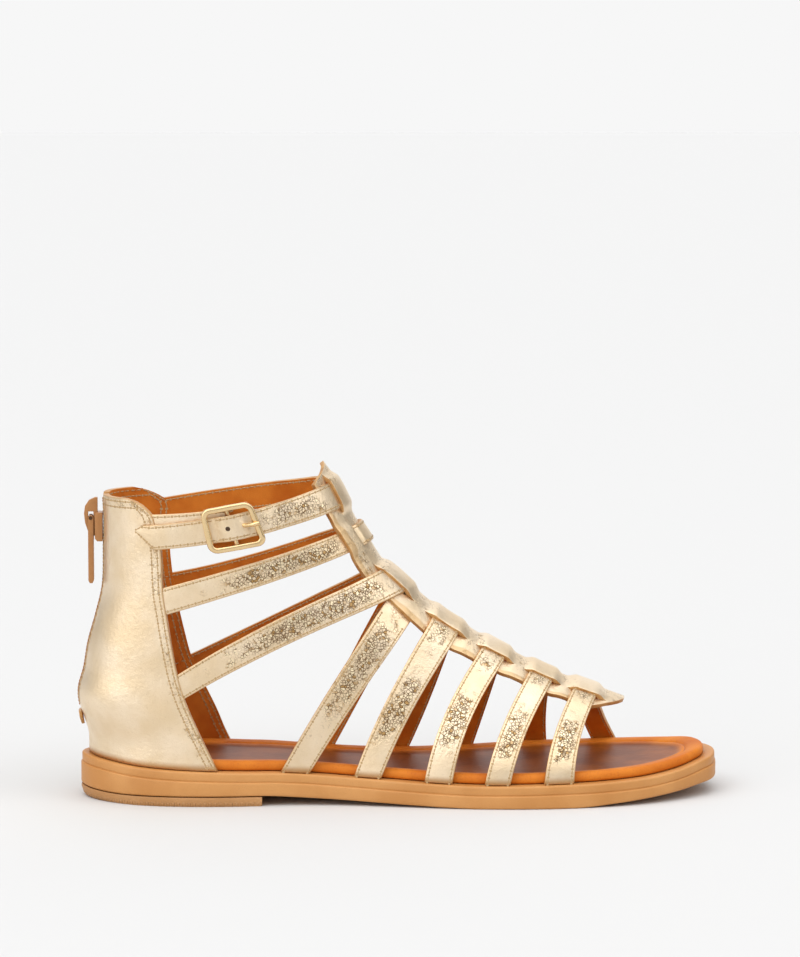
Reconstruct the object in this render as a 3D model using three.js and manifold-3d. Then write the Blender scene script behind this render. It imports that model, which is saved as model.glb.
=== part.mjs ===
// Gladiator sandal for a girl's right foot: gum sole, closed heel counter with a back zip, and
// straps woven through a raised spine over the instep. Millimetres, +X to the toe, +Y to the
// inner side of the foot, +Z up, with the origin under the middle of the heel.
import * as THREE from 'three';
import { mergeVertices } from 'three/addons/utils/BufferGeometryUtils.js';
import Module from 'manifold-3d';

const wasm = await Module();
wasm.setup();

// Driving dimensions of the last and the sole
const SOLE_LENGTH = 235;
const BALL_WIDTH = 85.5;
const HEEL_WIDTH = 61;
const SOLE_THICKNESS = 8.4;
const LIFT_HEIGHT = 3.7;
const LIFT_LENGTH = 66;
const TOE_SPRING = 5.4;
const UPPER_HEIGHT = 121.5;
const COUNTER_HEIGHT = 111.4;
const ANKLE_WIDTH = 60;

// Sizes of the single pieces
const GAP = 0.3;
const LEDGE_WIDTH = 4.5;
const BAND_HEIGHT = 3.5;
const BAND_STEP = 0.4;
const GROOVE_DEPTH = 0.7;
const EDGE_ROUND = 0.8;
const LIFT_BEVEL = 2.2;
const INSOLE_HEIGHT = 3.4;
const INSOLE_RIM = 7.4;
const DISH_DEPTH = 1.5;
const WALL = 2.2;
const LEATHER = 1.6;
const RIDGE_RADIUS = 15;
const SPINE_WIDTH = 29.6;
const BRIDGE_WIDTH = 19.4;
const WEAVE_RISE = 1.5;
const STRAP_SHARE = 0.6;
const SLIT_EASE = 1.5;
const FOOT_EASE = 0.85;
const LAP = 2;
const ZIP_WIDTH = 6;
const ZIP_PROUD = 0.3;
const SLIDER_WIDTH = 8;
const SLIDER_HEIGHT = 10.5;
const SLIDER_DEPTH = 2.8;
const FIN_THICKNESS = 2.4;
const PIN_DIAMETER = 1.3;
const PULL_LENGTH = 24;
const PULL_WIDTH = 5.9;
const PULL_THICKNESS = 2;
const BUCKLE_LENGTH = 19.2;
const BUCKLE_HEIGHT = 16.8;
const BUCKLE_BAND = 2.1;
const BUCKLE_DEPTH = 2;
const BAR_DIAMETER = 1.8;
const PRONG_DIAMETER = 1.5;

// Outline of the sole: a row for each station from heel to toe. Stations are shares of the sole
// length, and the outer and inner edges are shares of the width named in the row.
const HEEL_TIP = { at: 0, across: 0 };
const TOE_TIP = { at: 1, across: 0.047 };
const OUTLINE = [
  { at: 0.013, of: HEEL_WIDTH, lateral: 0.172, medial: 0.172 },
  { at: 0.043, of: HEEL_WIDTH, lateral: 0.303, medial: 0.303 },
  { at: 0.085, of: HEEL_WIDTH, lateral: 0.41, medial: 0.41 },
  { at: 0.14, of: HEEL_WIDTH, lateral: 0.475, medial: 0.475 },
  { at: 0.213, of: HEEL_WIDTH, lateral: 0.5, medial: 0.497 },
  { at: 0.281, of: HEEL_WIDTH, lateral: 0.489, medial: 0.47 },
  { at: 0.345, of: HEEL_WIDTH, lateral: 0.475, medial: 0.436 },
  { at: 0.413, of: BALL_WIDTH, lateral: 0.357, medial: 0.298 },
  { at: 0.485, of: BALL_WIDTH, lateral: 0.398, medial: 0.318 },
  { at: 0.553, of: BALL_WIDTH, lateral: 0.44, medial: 0.38 },
  { at: 0.621, of: BALL_WIDTH, lateral: 0.47, medial: 0.447 },
  { at: 0.689, of: BALL_WIDTH, lateral: 0.481, medial: 0.495 },
  { at: 0.757, of: BALL_WIDTH, lateral: 0.469, medial: 0.518 },
  { at: 0.826, of: BALL_WIDTH, lateral: 0.433, medial: 0.515 },
  { at: 0.885, of: BALL_WIDTH, lateral: 0.372, medial: 0.48 },
  { at: 0.932, of: BALL_WIDTH, lateral: 0.292, medial: 0.407 },
  { at: 0.968, of: BALL_WIDTH, lateral: 0.205, medial: 0.306 },
  { at: 0.989, of: BALL_WIDTH, lateral: 0.125, medial: 0.208 },
];

// Side profile of the sole: its underside as shares of the lift height and of the toe spring, its
// edge as a share of the sole thickness, and the ledge beside the insole as a share of its width.
const PROFILE = [
  { at: 0, lift: 1.24, spring: 0, thick: 1.39, ledge: 1.29 },
  { at: 0.043, lift: 1.03, spring: 0, thick: 1.33, ledge: 1.27 },
  { at: 0.085, lift: 1, spring: 0, thick: 1.21, ledge: 1.24 },
  { at: 0.14, lift: 1, spring: 0, thick: 1.11, ledge: 1.18 },
  { at: 0.213, lift: 1, spring: 0, thick: 1.04, ledge: 1.04 },
  { at: 0.281, lift: 1, spring: 0, thick: 1, ledge: 1 },
  { at: 0.345, lift: 0.78, spring: 0, thick: 1.02, ledge: 1 },
  { at: 0.413, lift: 0.54, spring: 0, thick: 1, ledge: 1 },
  { at: 0.485, lift: 0.3, spring: 0, thick: 0.99, ledge: 1 },
  { at: 0.553, lift: 0.12, spring: 0, thick: 0.98, ledge: 1 },
  { at: 0.621, lift: 0, spring: 0, thick: 0.98, ledge: 1 },
  { at: 0.689, lift: 0, spring: 0, thick: 0.99, ledge: 1 },
  { at: 0.757, lift: 0, spring: 0, thick: 1.02, ledge: 1 },
  { at: 0.826, lift: 0, spring: 0.2, thick: 0.94, ledge: 1 },
  { at: 0.885, lift: 0, spring: 0.43, thick: 0.89, ledge: 1 },
  { at: 0.932, lift: 0, spring: 0.65, thick: 0.92, ledge: 1.02 },
  { at: 0.968, lift: 0, spring: 0.88, thick: 1, ledge: 1.02 },
  { at: 1, lift: 0, spring: 1, thick: 1.1, ledge: 1.02 },
];

// Heel counter, a row for each level: the level as a share of the counter height, the back and
// both front edges as shares of the sole length, the width as a share of the ankle width.
const COUNTER_CENTRE = 0.247;
const COUNTER_FULLNESS = 2.7;
const FOOT_FLARE = 0.016;
const COUNTER = [
  { up: 0.18, back: 0.005, lateral: 0.198, medial: 0.225, width: 0.955 },
  { up: 0.25, back: -0.002, lateral: 0.182, medial: 0.211, width: 0.945 },
  { up: 0.346, back: -0.003, lateral: 0.163, medial: 0.189, width: 0.94 },
  { up: 0.425, back: 0.006, lateral: 0.152, medial: 0.172, width: 0.94 },
  { up: 0.51, back: 0.013, lateral: 0.144, medial: 0.161, width: 0.945 },
  { up: 0.6, back: 0.025, lateral: 0.137, medial: 0.151, width: 0.955 },
  { up: 0.7, back: 0.036, lateral: 0.13, medial: 0.142, width: 0.97 },
  { up: 0.834, back: 0.038, lateral: 0.127, medial: 0.137, width: 0.985 },
  { up: 0.905, back: 0.039, lateral: 0.12, medial: 0.137, width: 0.995 },
  { up: 0.945, back: 0.0385, lateral: 0.114, medial: 0.136, width: 1 },
  { up: 0.97, back: 0.038, lateral: 0.103, medial: 0.12, width: 1 },
  { up: 0.99, back: 0.0375, lateral: 0.088, medial: 0.098, width: 1 },
  { up: 1, back: 0.0375, lateral: 0.072, medial: 0.08, width: 1 },
];

// Ridge of the last under the spine, from the shin down to the toes.
const RIDGE = [
  { at: 0.376, up: 1 },
  { at: 0.399, up: 0.933 },
  { at: 0.424, up: 0.835 },
  { at: 0.448, up: 0.762 },
  { at: 0.468, up: 0.703 },
  { at: 0.493, up: 0.661 },
  { at: 0.528, up: 0.598 },
  { at: 0.566, up: 0.537 },
  { at: 0.604, up: 0.492 },
  { at: 0.638, up: 0.453 },
  { at: 0.681, up: 0.409 },
  { at: 0.726, up: 0.365 },
  { at: 0.762, up: 0.337 },
  { at: 0.804, up: 0.307 },
  { at: 0.853, up: 0.272 },
];

// Straps, two edges each: the place on the ridge, both ends and the bow of the edge between
// ridge and end. Ends beside a level lie on the counter, and the others stand on the sole.
const STRAPS = {
  top: [
    { ridge: 0.393, lateral: 0.097, lateralUp: 0.8385, medial: 0.119, medialUp: 0.876, bows: [-1.9, 0] },
    { ridge: 0.413, lateral: 0.097, lateralUp: 0.7645, medial: 0.119, medialUp: 0.796, bows: [-1.9, 0] },
  ],
  base: [
    { ridge: 0.393, lateral: 0.115, lateralUp: 0.872, medial: 0.119, medialUp: 0.876, bows: [-1.7, 0] },
    { ridge: 0.413, lateral: 0.115, lateralUp: 0.792, medial: 0.119, medialUp: 0.796, bows: [-1.9, 0] },
  ],
  second: [
    { ridge: 0.429, lateral: 0.115, lateralUp: 0.644, medial: 0.123, medialUp: 0.642, bows: [0, -3] },
    { ridge: 0.448, lateral: 0.119, lateralUp: 0.562, medial: 0.128, medialUp: 0.558, bows: [0, -3] },
  ],
  third: [
    { ridge: 0.477, lateral: 0.134, lateralUp: 0.369, medial: 0.145, medialUp: 0.37, bows: [3.5, -1] },
    { ridge: 0.515, lateral: 0.145, lateralUp: 0.299, medial: 0.157, medialUp: 0.296, bows: [3.5, -1] },
  ],
  fourth: [
    { ridge: 0.496, lateral: 0.31, medial: 0.35, bows: [1.5, 0] },
    { ridge: 0.535, lateral: 0.355, medial: 0.395, bows: [1.5, 0] },
  ],
  fifth: [
    { ridge: 0.553, lateral: 0.424, medial: 0.476, bows: [2.5, -1.5] },
    { ridge: 0.594, lateral: 0.4655, medial: 0.516, bows: [2.5, -1.5] },
  ],
  sixth: [
    { ridge: 0.632, lateral: 0.531, medial: 0.582, bows: [4, -1] },
    { ridge: 0.668, lateral: 0.5735, medial: 0.623, bows: [4, -1] },
  ],
  seventh: [
    { ridge: 0.706, lateral: 0.622, medial: 0.7085, bows: [3, 0.5] },
    { ridge: 0.7425, lateral: 0.6615, medial: 0.749, bows: [3, 0.5] },
  ],
  eighth: [
    { ridge: 0.7745, lateral: 0.7125, medial: 0.825, bows: [3, 1] },
    { ridge: 0.8105, lateral: 0.759, medial: 0.865, bows: [3, 1] },
  ],
};

// Colours
const GOLD = { color: 0xe6d3ac, roughness: 0.34, metalness: 0.7 };
const GUM = { color: 0xc68d54, roughness: 0.6, metalness: 0 };
const GUM_LIGHT = { color: 0xc89a68, roughness: 0.6, metalness: 0 };
const TAN = { color: 0xc8733a, roughness: 0.5, metalness: 0 };
const BRASS = { color: 0xe9d6a8, roughness: 0.2, metalness: 1 };
const TAN_METAL = { color: 0xb9743f, roughness: 0.35, metalness: 0.3 };

// Smooth value of one column of a table, read between its rows, level on its peaks and plateaus
function column(rows, key, name, at) {
  let i = 0;
  while (i < rows.length - 2 && rows[i + 1][key] < at) i += 1;
  const slope = (k) => {
    const before = rows[Math.max(k - 1, 0)];
    const after = rows[Math.min(k + 1, rows.length - 1)];
    const turns = (after[name] - rows[k][name]) * (rows[k][name] - before[name]) <= 0;
    const inner = k > 0 && k < rows.length - 1;
    return inner && turns ? 0 : (after[name] - before[name]) / (after[key] - before[key]);
  };
  const span = rows[i + 1][key] - rows[i][key];
  const t = THREE.MathUtils.clamp((at - rows[i][key]) / span, 0, 1);
  const start = (2 * t ** 3 - 3 * t ** 2 + 1) * rows[i][name] + (t ** 3 - 2 * t ** 2 + t) * span * slope(i);
  return start + (3 * t ** 2 - 2 * t ** 3) * rows[i + 1][name] + (t ** 3 - t ** 2) * span * slope(i + 1);
}

// Closed body through rings of equal length, closed at both ends by strips from side to side
function loftRings(rings) {
  const count = rings[0].length;
  const positions = rings.flat().flatMap((p) => [p.x, p.y, p.z]);
  const faces = [];
  for (let r = 0; r < rings.length - 1; r += 1) {
    for (let i = 0; i < count; i += 1) {
      const a = r * count + i;
      const b = r * count + ((i + 1) % count);
      faces.push([a, b, b + count], [a, b + count, a + count]);
    }
  }
  const last = (rings.length - 1) * count;
  for (let i = 0; i < count / 2; i += 1) {
    const quad = [i, i + 1, (count - i - 1) % count, (count - i) % count];
    for (const [a, b, c] of [[0, 1, 2], [0, 2, 3]]) {
      const corners = new Set([quad[a], quad[b], quad[c]]);
      if (corners.size === 3) {
        faces.push([quad[a], quad[c], quad[b]], [last + quad[a], last + quad[b], last + quad[c]]);
      }
    }
  }
  return closedGeometry(positions, faces);
}

// Geometry of a closed mesh, turned so that its faces point out
function closedGeometry(positions, faces) {
  const corner = (i) => new THREE.Vector3(...positions.slice(3 * i, 3 * i + 3));
  const volume = faces.reduce((sum, [a, b, c]) => sum + corner(a).dot(corner(b).cross(corner(c))), 0);
  const geometry = new THREE.BufferGeometry();
  geometry.setAttribute('position', new THREE.Float32BufferAttribute(positions, 3));
  geometry.setIndex(faces.flatMap(([a, b, c]) => (volume > 0 ? [a, b, c] : [a, c, b])));
  return geometry;
}

// Solid for joins and cuts, and the geometry of a solid
function solid(geometry) {
  const plain = geometry.clone();
  plain.deleteAttribute('normal');
  plain.deleteAttribute('uv');
  const merged = mergeVertices(plain, 1e-4);
  return new wasm.Manifold(new wasm.Mesh({
    numProp: 3,
    vertProperties: new Float32Array(merged.attributes.position.array),
    triVerts: new Uint32Array(merged.index.array),
  }));
}

// Largest closed body of a solid, without slivers: pockets sealed between two layers are filled
const SLIVER = 0.04;

function largest(body) {
  return body.simplify(SLIVER).decompose().reduce((most, next) => (next.volume() > most.volume() ? next : most));
}

function fuse(pieces) {
  return largest(pieces.map(solid).reduce((whole, next) => whole.add(next)));
}

function geometryOf(body) {
  const mesh = body.getMesh();
  const geometry = new THREE.BufferGeometry();
  geometry.setAttribute('position', new THREE.BufferAttribute(new Float32Array(mesh.vertProperties), 3));
  geometry.setIndex(new THREE.BufferAttribute(new Uint32Array(mesh.triVerts), 1));
  return geometry;
}

// Heights of the sole at a distance from the heel's back
const profile = (name, x) => column(PROFILE, 'at', name, x / SOLE_LENGTH);
const underside = (x) => LIFT_HEIGHT * profile('lift', x) + TOE_SPRING * profile('spring', x);
const ledgeTop = (x) => underside(x) + SOLE_THICKNESS * profile('thick', x);
const ledgeWidth = (x) => LEDGE_WIDTH * profile('ledge', x);

// Outline of the sole as a loop: heel, outer side, toe, inner side
const OUTLINE_STEPS = 2;
const outlineCurve = new THREE.CatmullRomCurve3([
  new THREE.Vector3(SOLE_LENGTH * HEEL_TIP.at, HEEL_WIDTH * HEEL_TIP.across, 0),
  ...OUTLINE.map((row) => new THREE.Vector3(SOLE_LENGTH * row.at, -row.of * row.lateral, 0)),
  new THREE.Vector3(SOLE_LENGTH * TOE_TIP.at, BALL_WIDTH * TOE_TIP.across, 0),
  ...OUTLINE.toReversed().map((row) => new THREE.Vector3(SOLE_LENGTH * row.at, row.of * row.medial, 0)),
], true, 'centripetal');

function outlineRing(inset, height) {
  const count = (2 * OUTLINE.length + 2) * OUTLINE_STEPS;
  return Array.from({ length: count }, (_, i) => {
    const point = outlineCurve.getPoint(i / count);
    const ahead = outlineCurve.getTangent(i / count);
    const inward = new THREE.Vector3(-ahead.y, ahead.x, 0);
    const p = point.clone().addScaledVector(inward, inset(point.x));
    return p.setZ(height(p.x));
  });
}

// Outer or inner edge of the insole, as a distance from the middle line
const insoleRing = outlineRing(ledgeWidth, () => 0);

function insoleEdge(x, side) {
  const half = insoleRing.length / 2;
  const points = insoleRing.filter((_, i) => (side < 0 ? i <= half : i >= half || i === 0));
  const sorted = points.toSorted((a, b) => a.x - b.x);
  const next = sorted.findIndex((p) => p.x > x);
  const a = sorted[next - 1];
  const b = sorted[next];
  return Math.abs(THREE.MathUtils.lerp(a.y, b.y, (x - a.x) / (b.x - a.x)));
}

// Outsole: a lower wall, a groove and a set-back upper band with a rounded top edge
function outsole() {
  const bandFoot = (x) => ledgeTop(x) - BAND_HEIGHT;
  return loftRings([
    outlineRing(() => EDGE_ROUND, underside),
    outlineRing(() => 0, (x) => underside(x) + EDGE_ROUND),
    outlineRing(() => 0, (x) => bandFoot(x) - EDGE_ROUND / 2),
    outlineRing(() => GROOVE_DEPTH, bandFoot),
    outlineRing(() => BAND_STEP, (x) => bandFoot(x) + EDGE_ROUND / 2),
    outlineRing(() => BAND_STEP, (x) => ledgeTop(x) - EDGE_ROUND),
    outlineRing(() => BAND_STEP + EDGE_ROUND, (x) => ledgeTop(x)),
  ]);
}

// Heel lift: a flat top piece under the heel, bevelled round its back
function heelLift() {
  const bevel = (x) => EDGE_ROUND + (LIFT_BEVEL - EDGE_ROUND) * Math.max(0, 1 - x / (LIFT_LENGTH / 4));
  const top = (x) => Math.max(underside(x) - GAP, LIFT_HEIGHT / 2);
  const full = solid(loftRings([
    outlineRing(bevel, () => 0),
    outlineRing((x) => bevel(x) / 3, () => LIFT_HEIGHT / 3),
    outlineRing(() => 0, (x) => top(x)),
  ]));
  const keep = new THREE.BoxGeometry(LIFT_LENGTH * 2, BALL_WIDTH * 2, LIFT_HEIGHT * 4);
  return geometryOf(full.intersect(solid(keep)));
}

// Insole: a padded slab with a rounded side, a raised rim and a shallow dish
function insole() {
  const inset = (extra) => (x) => ledgeWidth(x) + extra;
  const height = (share) => (x) => ledgeTop(x) + GAP + INSOLE_HEIGHT * share;
  const dish = 1 - DISH_DEPTH / INSOLE_HEIGHT;
  return loftRings([
    outlineRing(inset(0.5), height(0)),
    outlineRing(inset(0), height(0.25)),
    outlineRing(inset(0.1), height(0.62)),
    outlineRing(inset(0.9), height(0.93)),
    outlineRing(inset(2.2), height(1)),
    outlineRing(inset(INSOLE_RIM * 0.6), height(0.97)),
    outlineRing(inset(INSOLE_RIM), height(0.85)),
    outlineRing(inset(INSOLE_RIM * 1.35), height(dish)),
  ]);
}

// Plan of the counter's outside at one level: a half of a rounded oval about the ankle's middle
const counterCentre = SOLE_LENGTH * COUNTER_CENTRE;
const counter = (name, z) => column(COUNTER, 'up', name, z / COUNTER_HEIGHT);
const counterFoot = COUNTER_HEIGHT * COUNTER[0].up;

function ovalReach(angle, z) {
  const depth = counterCentre - SOLE_LENGTH * counter('back', z);
  const half = ANKLE_WIDTH / 2 * counter('width', z);
  const share = (Math.abs(Math.cos(angle)) / depth) ** COUNTER_FULLNESS
    + (Math.abs(Math.sin(angle)) / half) ** COUNTER_FULLNESS;
  return share ** (-1 / COUNTER_FULLNESS);
}

// At its foot the counter hugs the insole's edge
const counterBase = outlineRing((x) => ledgeWidth(x) - 2 * GAP - WALL, () => 0);

function baseReach(angle) {
  const away = new THREE.Vector2(-Math.cos(angle), Math.sin(angle));
  let reach = 0;
  counterBase.forEach((p, i) => {
    const q = counterBase[(i + 1) % counterBase.length];
    const a = new THREE.Vector2(p.x - counterCentre, p.y);
    const b = new THREE.Vector2(q.x - counterCentre, q.y);
    const side = (v) => away.x * v.y - away.y * v.x;
    const sa = side(a);
    const sb = side(b);
    if (sa * sb <= 0 && sa !== sb) {
      const hit = a.lerp(b, sa / (sa - sb));
      if (hit.dot(away) > 0) reach = hit.length();
    }
  });
  return reach;
}

function counterPoint(angle, z) {
  const hug = 1 - THREE.MathUtils.smoothstep(z, counterFoot, COUNTER_HEIGHT * 0.34);
  const level = Math.max(z, counterFoot);
  const reach = THREE.MathUtils.lerp(ovalReach(angle, level), baseReach(angle), hug);
  return new THREE.Vector3(counterCentre - reach * Math.cos(angle), reach * Math.sin(angle), z);
}

// Angle at which the counter's outside reaches a distance from the heel's back
function counterAngle(x, z) {
  let low = 0;
  let high = Math.PI / 2;
  for (let i = 0; i < 30; i += 1) {
    const middle = (low + high) / 2;
    if (counterPoint(middle, z).x < x) low = middle;
    else high = middle;
  }
  return low;
}

// Wall between two offsets from the counter's outside, between two angles at each level
function counterWall(levels, angles, steps, outer, inner) {
  const rings = levels.map((z) => {
    const [from, to] = angles(z);
    const line = (offset) => Array.from({ length: steps + 1 }, (_, i) => {
      const angle = THREE.MathUtils.lerp(from, to, i / steps);
      const ahead = counterPoint(angle + 0.01, z).sub(counterPoint(angle - 0.01, z)).normalize();
      const outward = new THREE.Vector3(-ahead.y, ahead.x, 0);
      const p = counterPoint(angle, z).addScaledVector(outward, offset);
      return p.setZ(z > counterFoot ? z : ledgeTop(p.x) + GAP);
    });
    return [...line(outer), ...line(inner).reverse()];
  });
  return loftRings(rings);
}

function counterShell() {
  const levels = [0, ...COUNTER.map((row) => COUNTER_HEIGHT * row.up)];
  levels[1] += 0.01;
  const edges = (z) => {
    const level = Math.max(z, counterFoot);
    const spread = z > counterFoot ? 0 : FOOT_FLARE;
    return [
      -counterAngle(SOLE_LENGTH * (counter('lateral', level) + spread), level),
      counterAngle(SOLE_LENGTH * (counter('medial', level) + spread), level),
    ];
  };
  return counterWall(levels, edges, 25, 0, -WALL);
}

// Outside of the counter's lining at a place, as a distance from the middle line
function counterSide(x, z) {
  return Math.abs(counterPoint(counterAngle(x, z), z).y) - WALL;
}

// Ridge of the last
const ridgePoint = (at) => new THREE.Vector2(SOLE_LENGTH * at, UPPER_HEIGHT * column(RIDGE, 'at', 'up', at));

// One edge of a strap on one side of the foot: where it starts and ends and how wide it reaches
function reachOf(row, side) {
  const start = ridgePoint(row.ridge);
  const name = side < 0 ? 'lateral' : 'medial';
  const x = SOLE_LENGTH * row[name];
  const bow = row.bows[side < 0 ? 0 : 1];
  if (row[`${name}Up`] === undefined) {
    const end = new THREE.Vector2(x, ledgeTop(x) + GAP);
    return { start, end, bow, widest: 1, width: insoleEdge(x, side) + GAP + FOOT_EASE };
  }
  const end = new THREE.Vector2(x, UPPER_HEIGHT * row[`${name}Up`]);
  const widest = (start.x - counterCentre) / (start.x - end.x);
  return { start, end, bow, widest, width: ANKLE_WIDTH / 2 - WALL };
}

// Point of a strap's edge. The place runs from 0 at the ridge over 1 at the widest spot.
function edgePoint(reach, side, place) {
  const down = place < 1 ? place ** 2 : 2 * place - 1;
  const chord = reach.end.clone().sub(reach.start);
  const t = down * reach.widest;
  const bow = 4 * reach.bow * t * (1 - t) / chord.length();
  const x = reach.start.x + chord.x * t + chord.y * bow;
  const z = reach.start.y + chord.y * t - chord.x * bow;
  const span = chord.length() * reach.widest;
  if (down > 1 && reach.widest < 1) {
    const ease = (1 - t) / (1 - reach.widest);
    const onCounter = counterSide(x, z);
    const atWidest = counterSide(counterCentre - 1e-3, z);
    return new THREE.Vector3(x, side * (onCounter + (reach.width - atWidest) * ease ** 2), z);
  }
  const k = 2 * RIDGE_RADIUS * span / reach.width ** 2;
  const d = Math.min(down, 1);
  const swell = k * d + (3 - 2 * k) * d ** 2 + (k - 2) * d ** 3;
  return new THREE.Vector3(x, side * reach.width * Math.sqrt(Math.max(swell, 0)), z);
}

const endPlace = (reach) => (1 / reach.widest + 1) / 2;

// Point of the last under a strap: run goes from -1 at the outer end to 1 at the inner end, and
// share from 0 at the upper or rear edge to 1 at the lower or front edge.
function strapBase(rows, run, share) {
  const side = run < 0 ? -1 : 1;
  const [a, b] = rows.map((row) => {
    const reach = reachOf(row, side);
    return edgePoint(reach, side, Math.abs(run) * endPlace(reach));
  });
  return a.lerp(b, share);
}

function strapPoint(rows, run, share, lift) {
  const step = 1e-3;
  const along = strapBase(rows, run + step, share).sub(strapBase(rows, run - step, share));
  const across = strapBase(rows, run, 1).sub(strapBase(rows, run, 0));
  const outward = across.cross(along).normalize();
  return strapBase(rows, run, share).addScaledVector(outward, lift);
}

// Where a strap lies across the spine: on its bridge, or on its edge strips and just outside them
const onBridge = (y) => 1 - THREE.MathUtils.smoothstep(
  Math.abs(y), BRIDGE_WIDTH / 2 - SLIT_EASE, BRIDGE_WIDTH / 2 + SLIT_EASE);
const onEdge = (y) => (1 - onBridge(y)) * (1 - THREE.MathUtils.smoothstep(
  Math.abs(y), SPINE_WIDTH / 2, SPINE_WIDTH / 2 + 4 * SLIT_EASE));
// Runs along a strap, evenly spaced
function runs(from, to, count) {
  return Array.from({ length: count + 1 }, (_, i) => THREE.MathUtils.lerp(from, to, i / count));
}

// Strap as a band of leather of even thickness, raised by lift. Its sides give the shares across
// it that its two edges keep.
function strapBand(rows, stations, lift, sides = () => [0, 1]) {
  return loftRings(stations.map((run) => {
    const height = lift(run, strapBase(rows, run, 0.5));
    const [from, to] = sides(run);
    return [
      strapPoint(rows, run, from, height),
      strapPoint(rows, run, to, height),
      strapPoint(rows, run, to, height + LEATHER),
      strapPoint(rows, run, from, height + LEATHER),
    ];
  }));
}

const overEdges = (run, p) => WEAVE_RISE * STRAP_SHARE * onEdge(p.y);
const overBridge = (run, p) => WEAVE_RISE * (onBridge(p.y) - (1 - STRAP_SHARE) * onEdge(p.y));

// Spine: edge strips and a bridge between them, along the ridge
const FAN = ['top', 'second', 'third', 'fifth', 'sixth', 'seventh', 'eighth'].flatMap((name) => STRAPS[name]);

function spineBase(at, y) {
  const side = y < 0 ? -1 : 1;
  const above = Math.max(0, Math.min(FAN.length - 2, FAN.findLastIndex((row) => row.ridge <= at)));
  const [a, b] = [FAN[above], FAN[above + 1]].map((row) => reachOf(row, side));
  const t = THREE.MathUtils.clamp((at - FAN[above].ridge) / (FAN[above + 1].ridge - FAN[above].ridge), 0, 1);
  const start = ridgePoint(at);
  const dropA = a.end.clone().sub(a.start).multiplyScalar(a.widest);
  const dropB = b.end.clone().sub(b.start).multiplyScalar(b.widest);
  const drop = dropA.lerp(dropB, t);
  const width = THREE.MathUtils.lerp(a.width, b.width, t);
  const k = 2 * RIDGE_RADIUS * drop.length() / width ** 2;
  let low = 0;
  let high = 1;
  for (let i = 0; i < 30; i += 1) {
    const down = (low + high) / 2;
    if (k * down + (3 - 2 * k) * down ** 2 + (k - 2) * down ** 3 < (y / width) ** 2) low = down;
    else high = down;
  }
  return new THREE.Vector3(start.x + drop.x * low, y, start.y + drop.y * low);
}

function spinePoint(at, y, lift) {
  const alongStep = 1e-3;
  const acrossStep = 0.05;
  const along = spineBase(at + alongStep, y).sub(spineBase(at - alongStep, y));
  const across = spineBase(at, y + acrossStep).sub(spineBase(at, y - acrossStep));
  return spineBase(at, y).addScaledVector(along.cross(across).normalize(), lift);
}

// Where straps cross the spine: 1 on a crossing, 0 between crossings
function crossing(at, names) {
  return names.reduce((most, name) => {
    const [a, b] = STRAPS[name].map((row) => ridgePoint(row.ridge));
    const here = ridgePoint(at);
    const middle = a.clone().lerp(b, 0.5);
    const reach = a.distanceTo(b) / 2;
    const away = here.distanceTo(middle);
    return Math.max(most, 1 - THREE.MathUtils.smoothstep(away, reach * 0.9, reach * 1.7));
  }, 0);
}
const UNDER_BRIDGE = ['top', 'third', 'fifth', 'sixth', 'seventh', 'eighth'];
const OVER_BRIDGE = ['second'];

const SPINE_START = RIDGE[0].at;
const SPINE_END = RIDGE[RIDGE.length - 1].at;
const TOP_POINT = 0.0195;
const TOP_SKEW = 0.0045;
const TOE_POINT = 0.055;

// Place on the spine of a share of its length: it ends in leaf points on the shin and at the toes,
// so that lines across it bend towards both ends
function spinePlace(t, y) {
  const side = Math.abs(y) / (SPINE_WIDTH / 2);
  const at = THREE.MathUtils.lerp(SPINE_START, SPINE_END, 0.6 * t + 0.4 * t ** 2);
  const drop = TOP_POINT + Math.sign(y) * TOP_SKEW;
  return at + drop * side ** 1.5 * (1 - t) ** 6 - TOE_POINT * side ** 2 * t ** 8;
}

function spineStrip(inner, outer, lift, columns) {
  const count = 42;
  return loftRings(Array.from({ length: count + 1 }, (_, i) => {
    const line = (extra) => Array.from({ length: columns + 1 }, (__, j) => {
      const y = THREE.MathUtils.lerp(inner, outer, j / columns);
      const at = spinePlace(i / count, y);
      return spinePoint(at, y, lift(at) + extra);
    });
    return [...line(0), ...line(LEATHER).reverse()];
  }));
}

function spine() {
  const edgeLift = (at) => WEAVE_RISE * (STRAP_SHARE * crossing(at, OVER_BRIDGE)
    - (1 - STRAP_SHARE) * crossing(at, UNDER_BRIDGE));
  const bridgeLift = (at) => WEAVE_RISE * crossing(at, UNDER_BRIDGE);
  const overlap = 0.15;
  const slit = BRIDGE_WIDTH / 2;
  return [
    spineStrip(-SPINE_WIDTH / 2, -slit + overlap, edgeLift, 1),
    spineStrip(-slit - overlap, slit + overlap, bridgeLift, 4),
    spineStrip(slit - overlap, SPINE_WIDTH / 2, edgeLift, 1),
  ];
}

// Places along the top strap on the outer side, measured in millimetres from the buckle's middle,
// with across towards the collar's edge and out away from the ankle
const BUCKLE_AT = 0.236;

function runAt(rows, x) {
  let low = -1;
  let high = 0;
  for (let i = 0; i < 30; i += 1) {
    const middle = (low + high) / 2;
    if (strapBase(rows, middle, 0.5).x < x) low = middle;
    else high = middle;
  }
  return low;
}

const buckleRun = runAt(STRAPS.top, SOLE_LENGTH * BUCKLE_AT);
const runSpeed = strapBase(STRAPS.top, buckleRun + 0.01, 0.5)
  .distanceTo(strapBase(STRAPS.top, buckleRun - 0.01, 0.5)) / 0.02;
const topWidth = strapBase(STRAPS.top, buckleRun, 0).distanceTo(strapBase(STRAPS.top, buckleRun, 1));
const fromBuckle = (run) => (run - buckleRun) * runSpeed;

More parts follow.
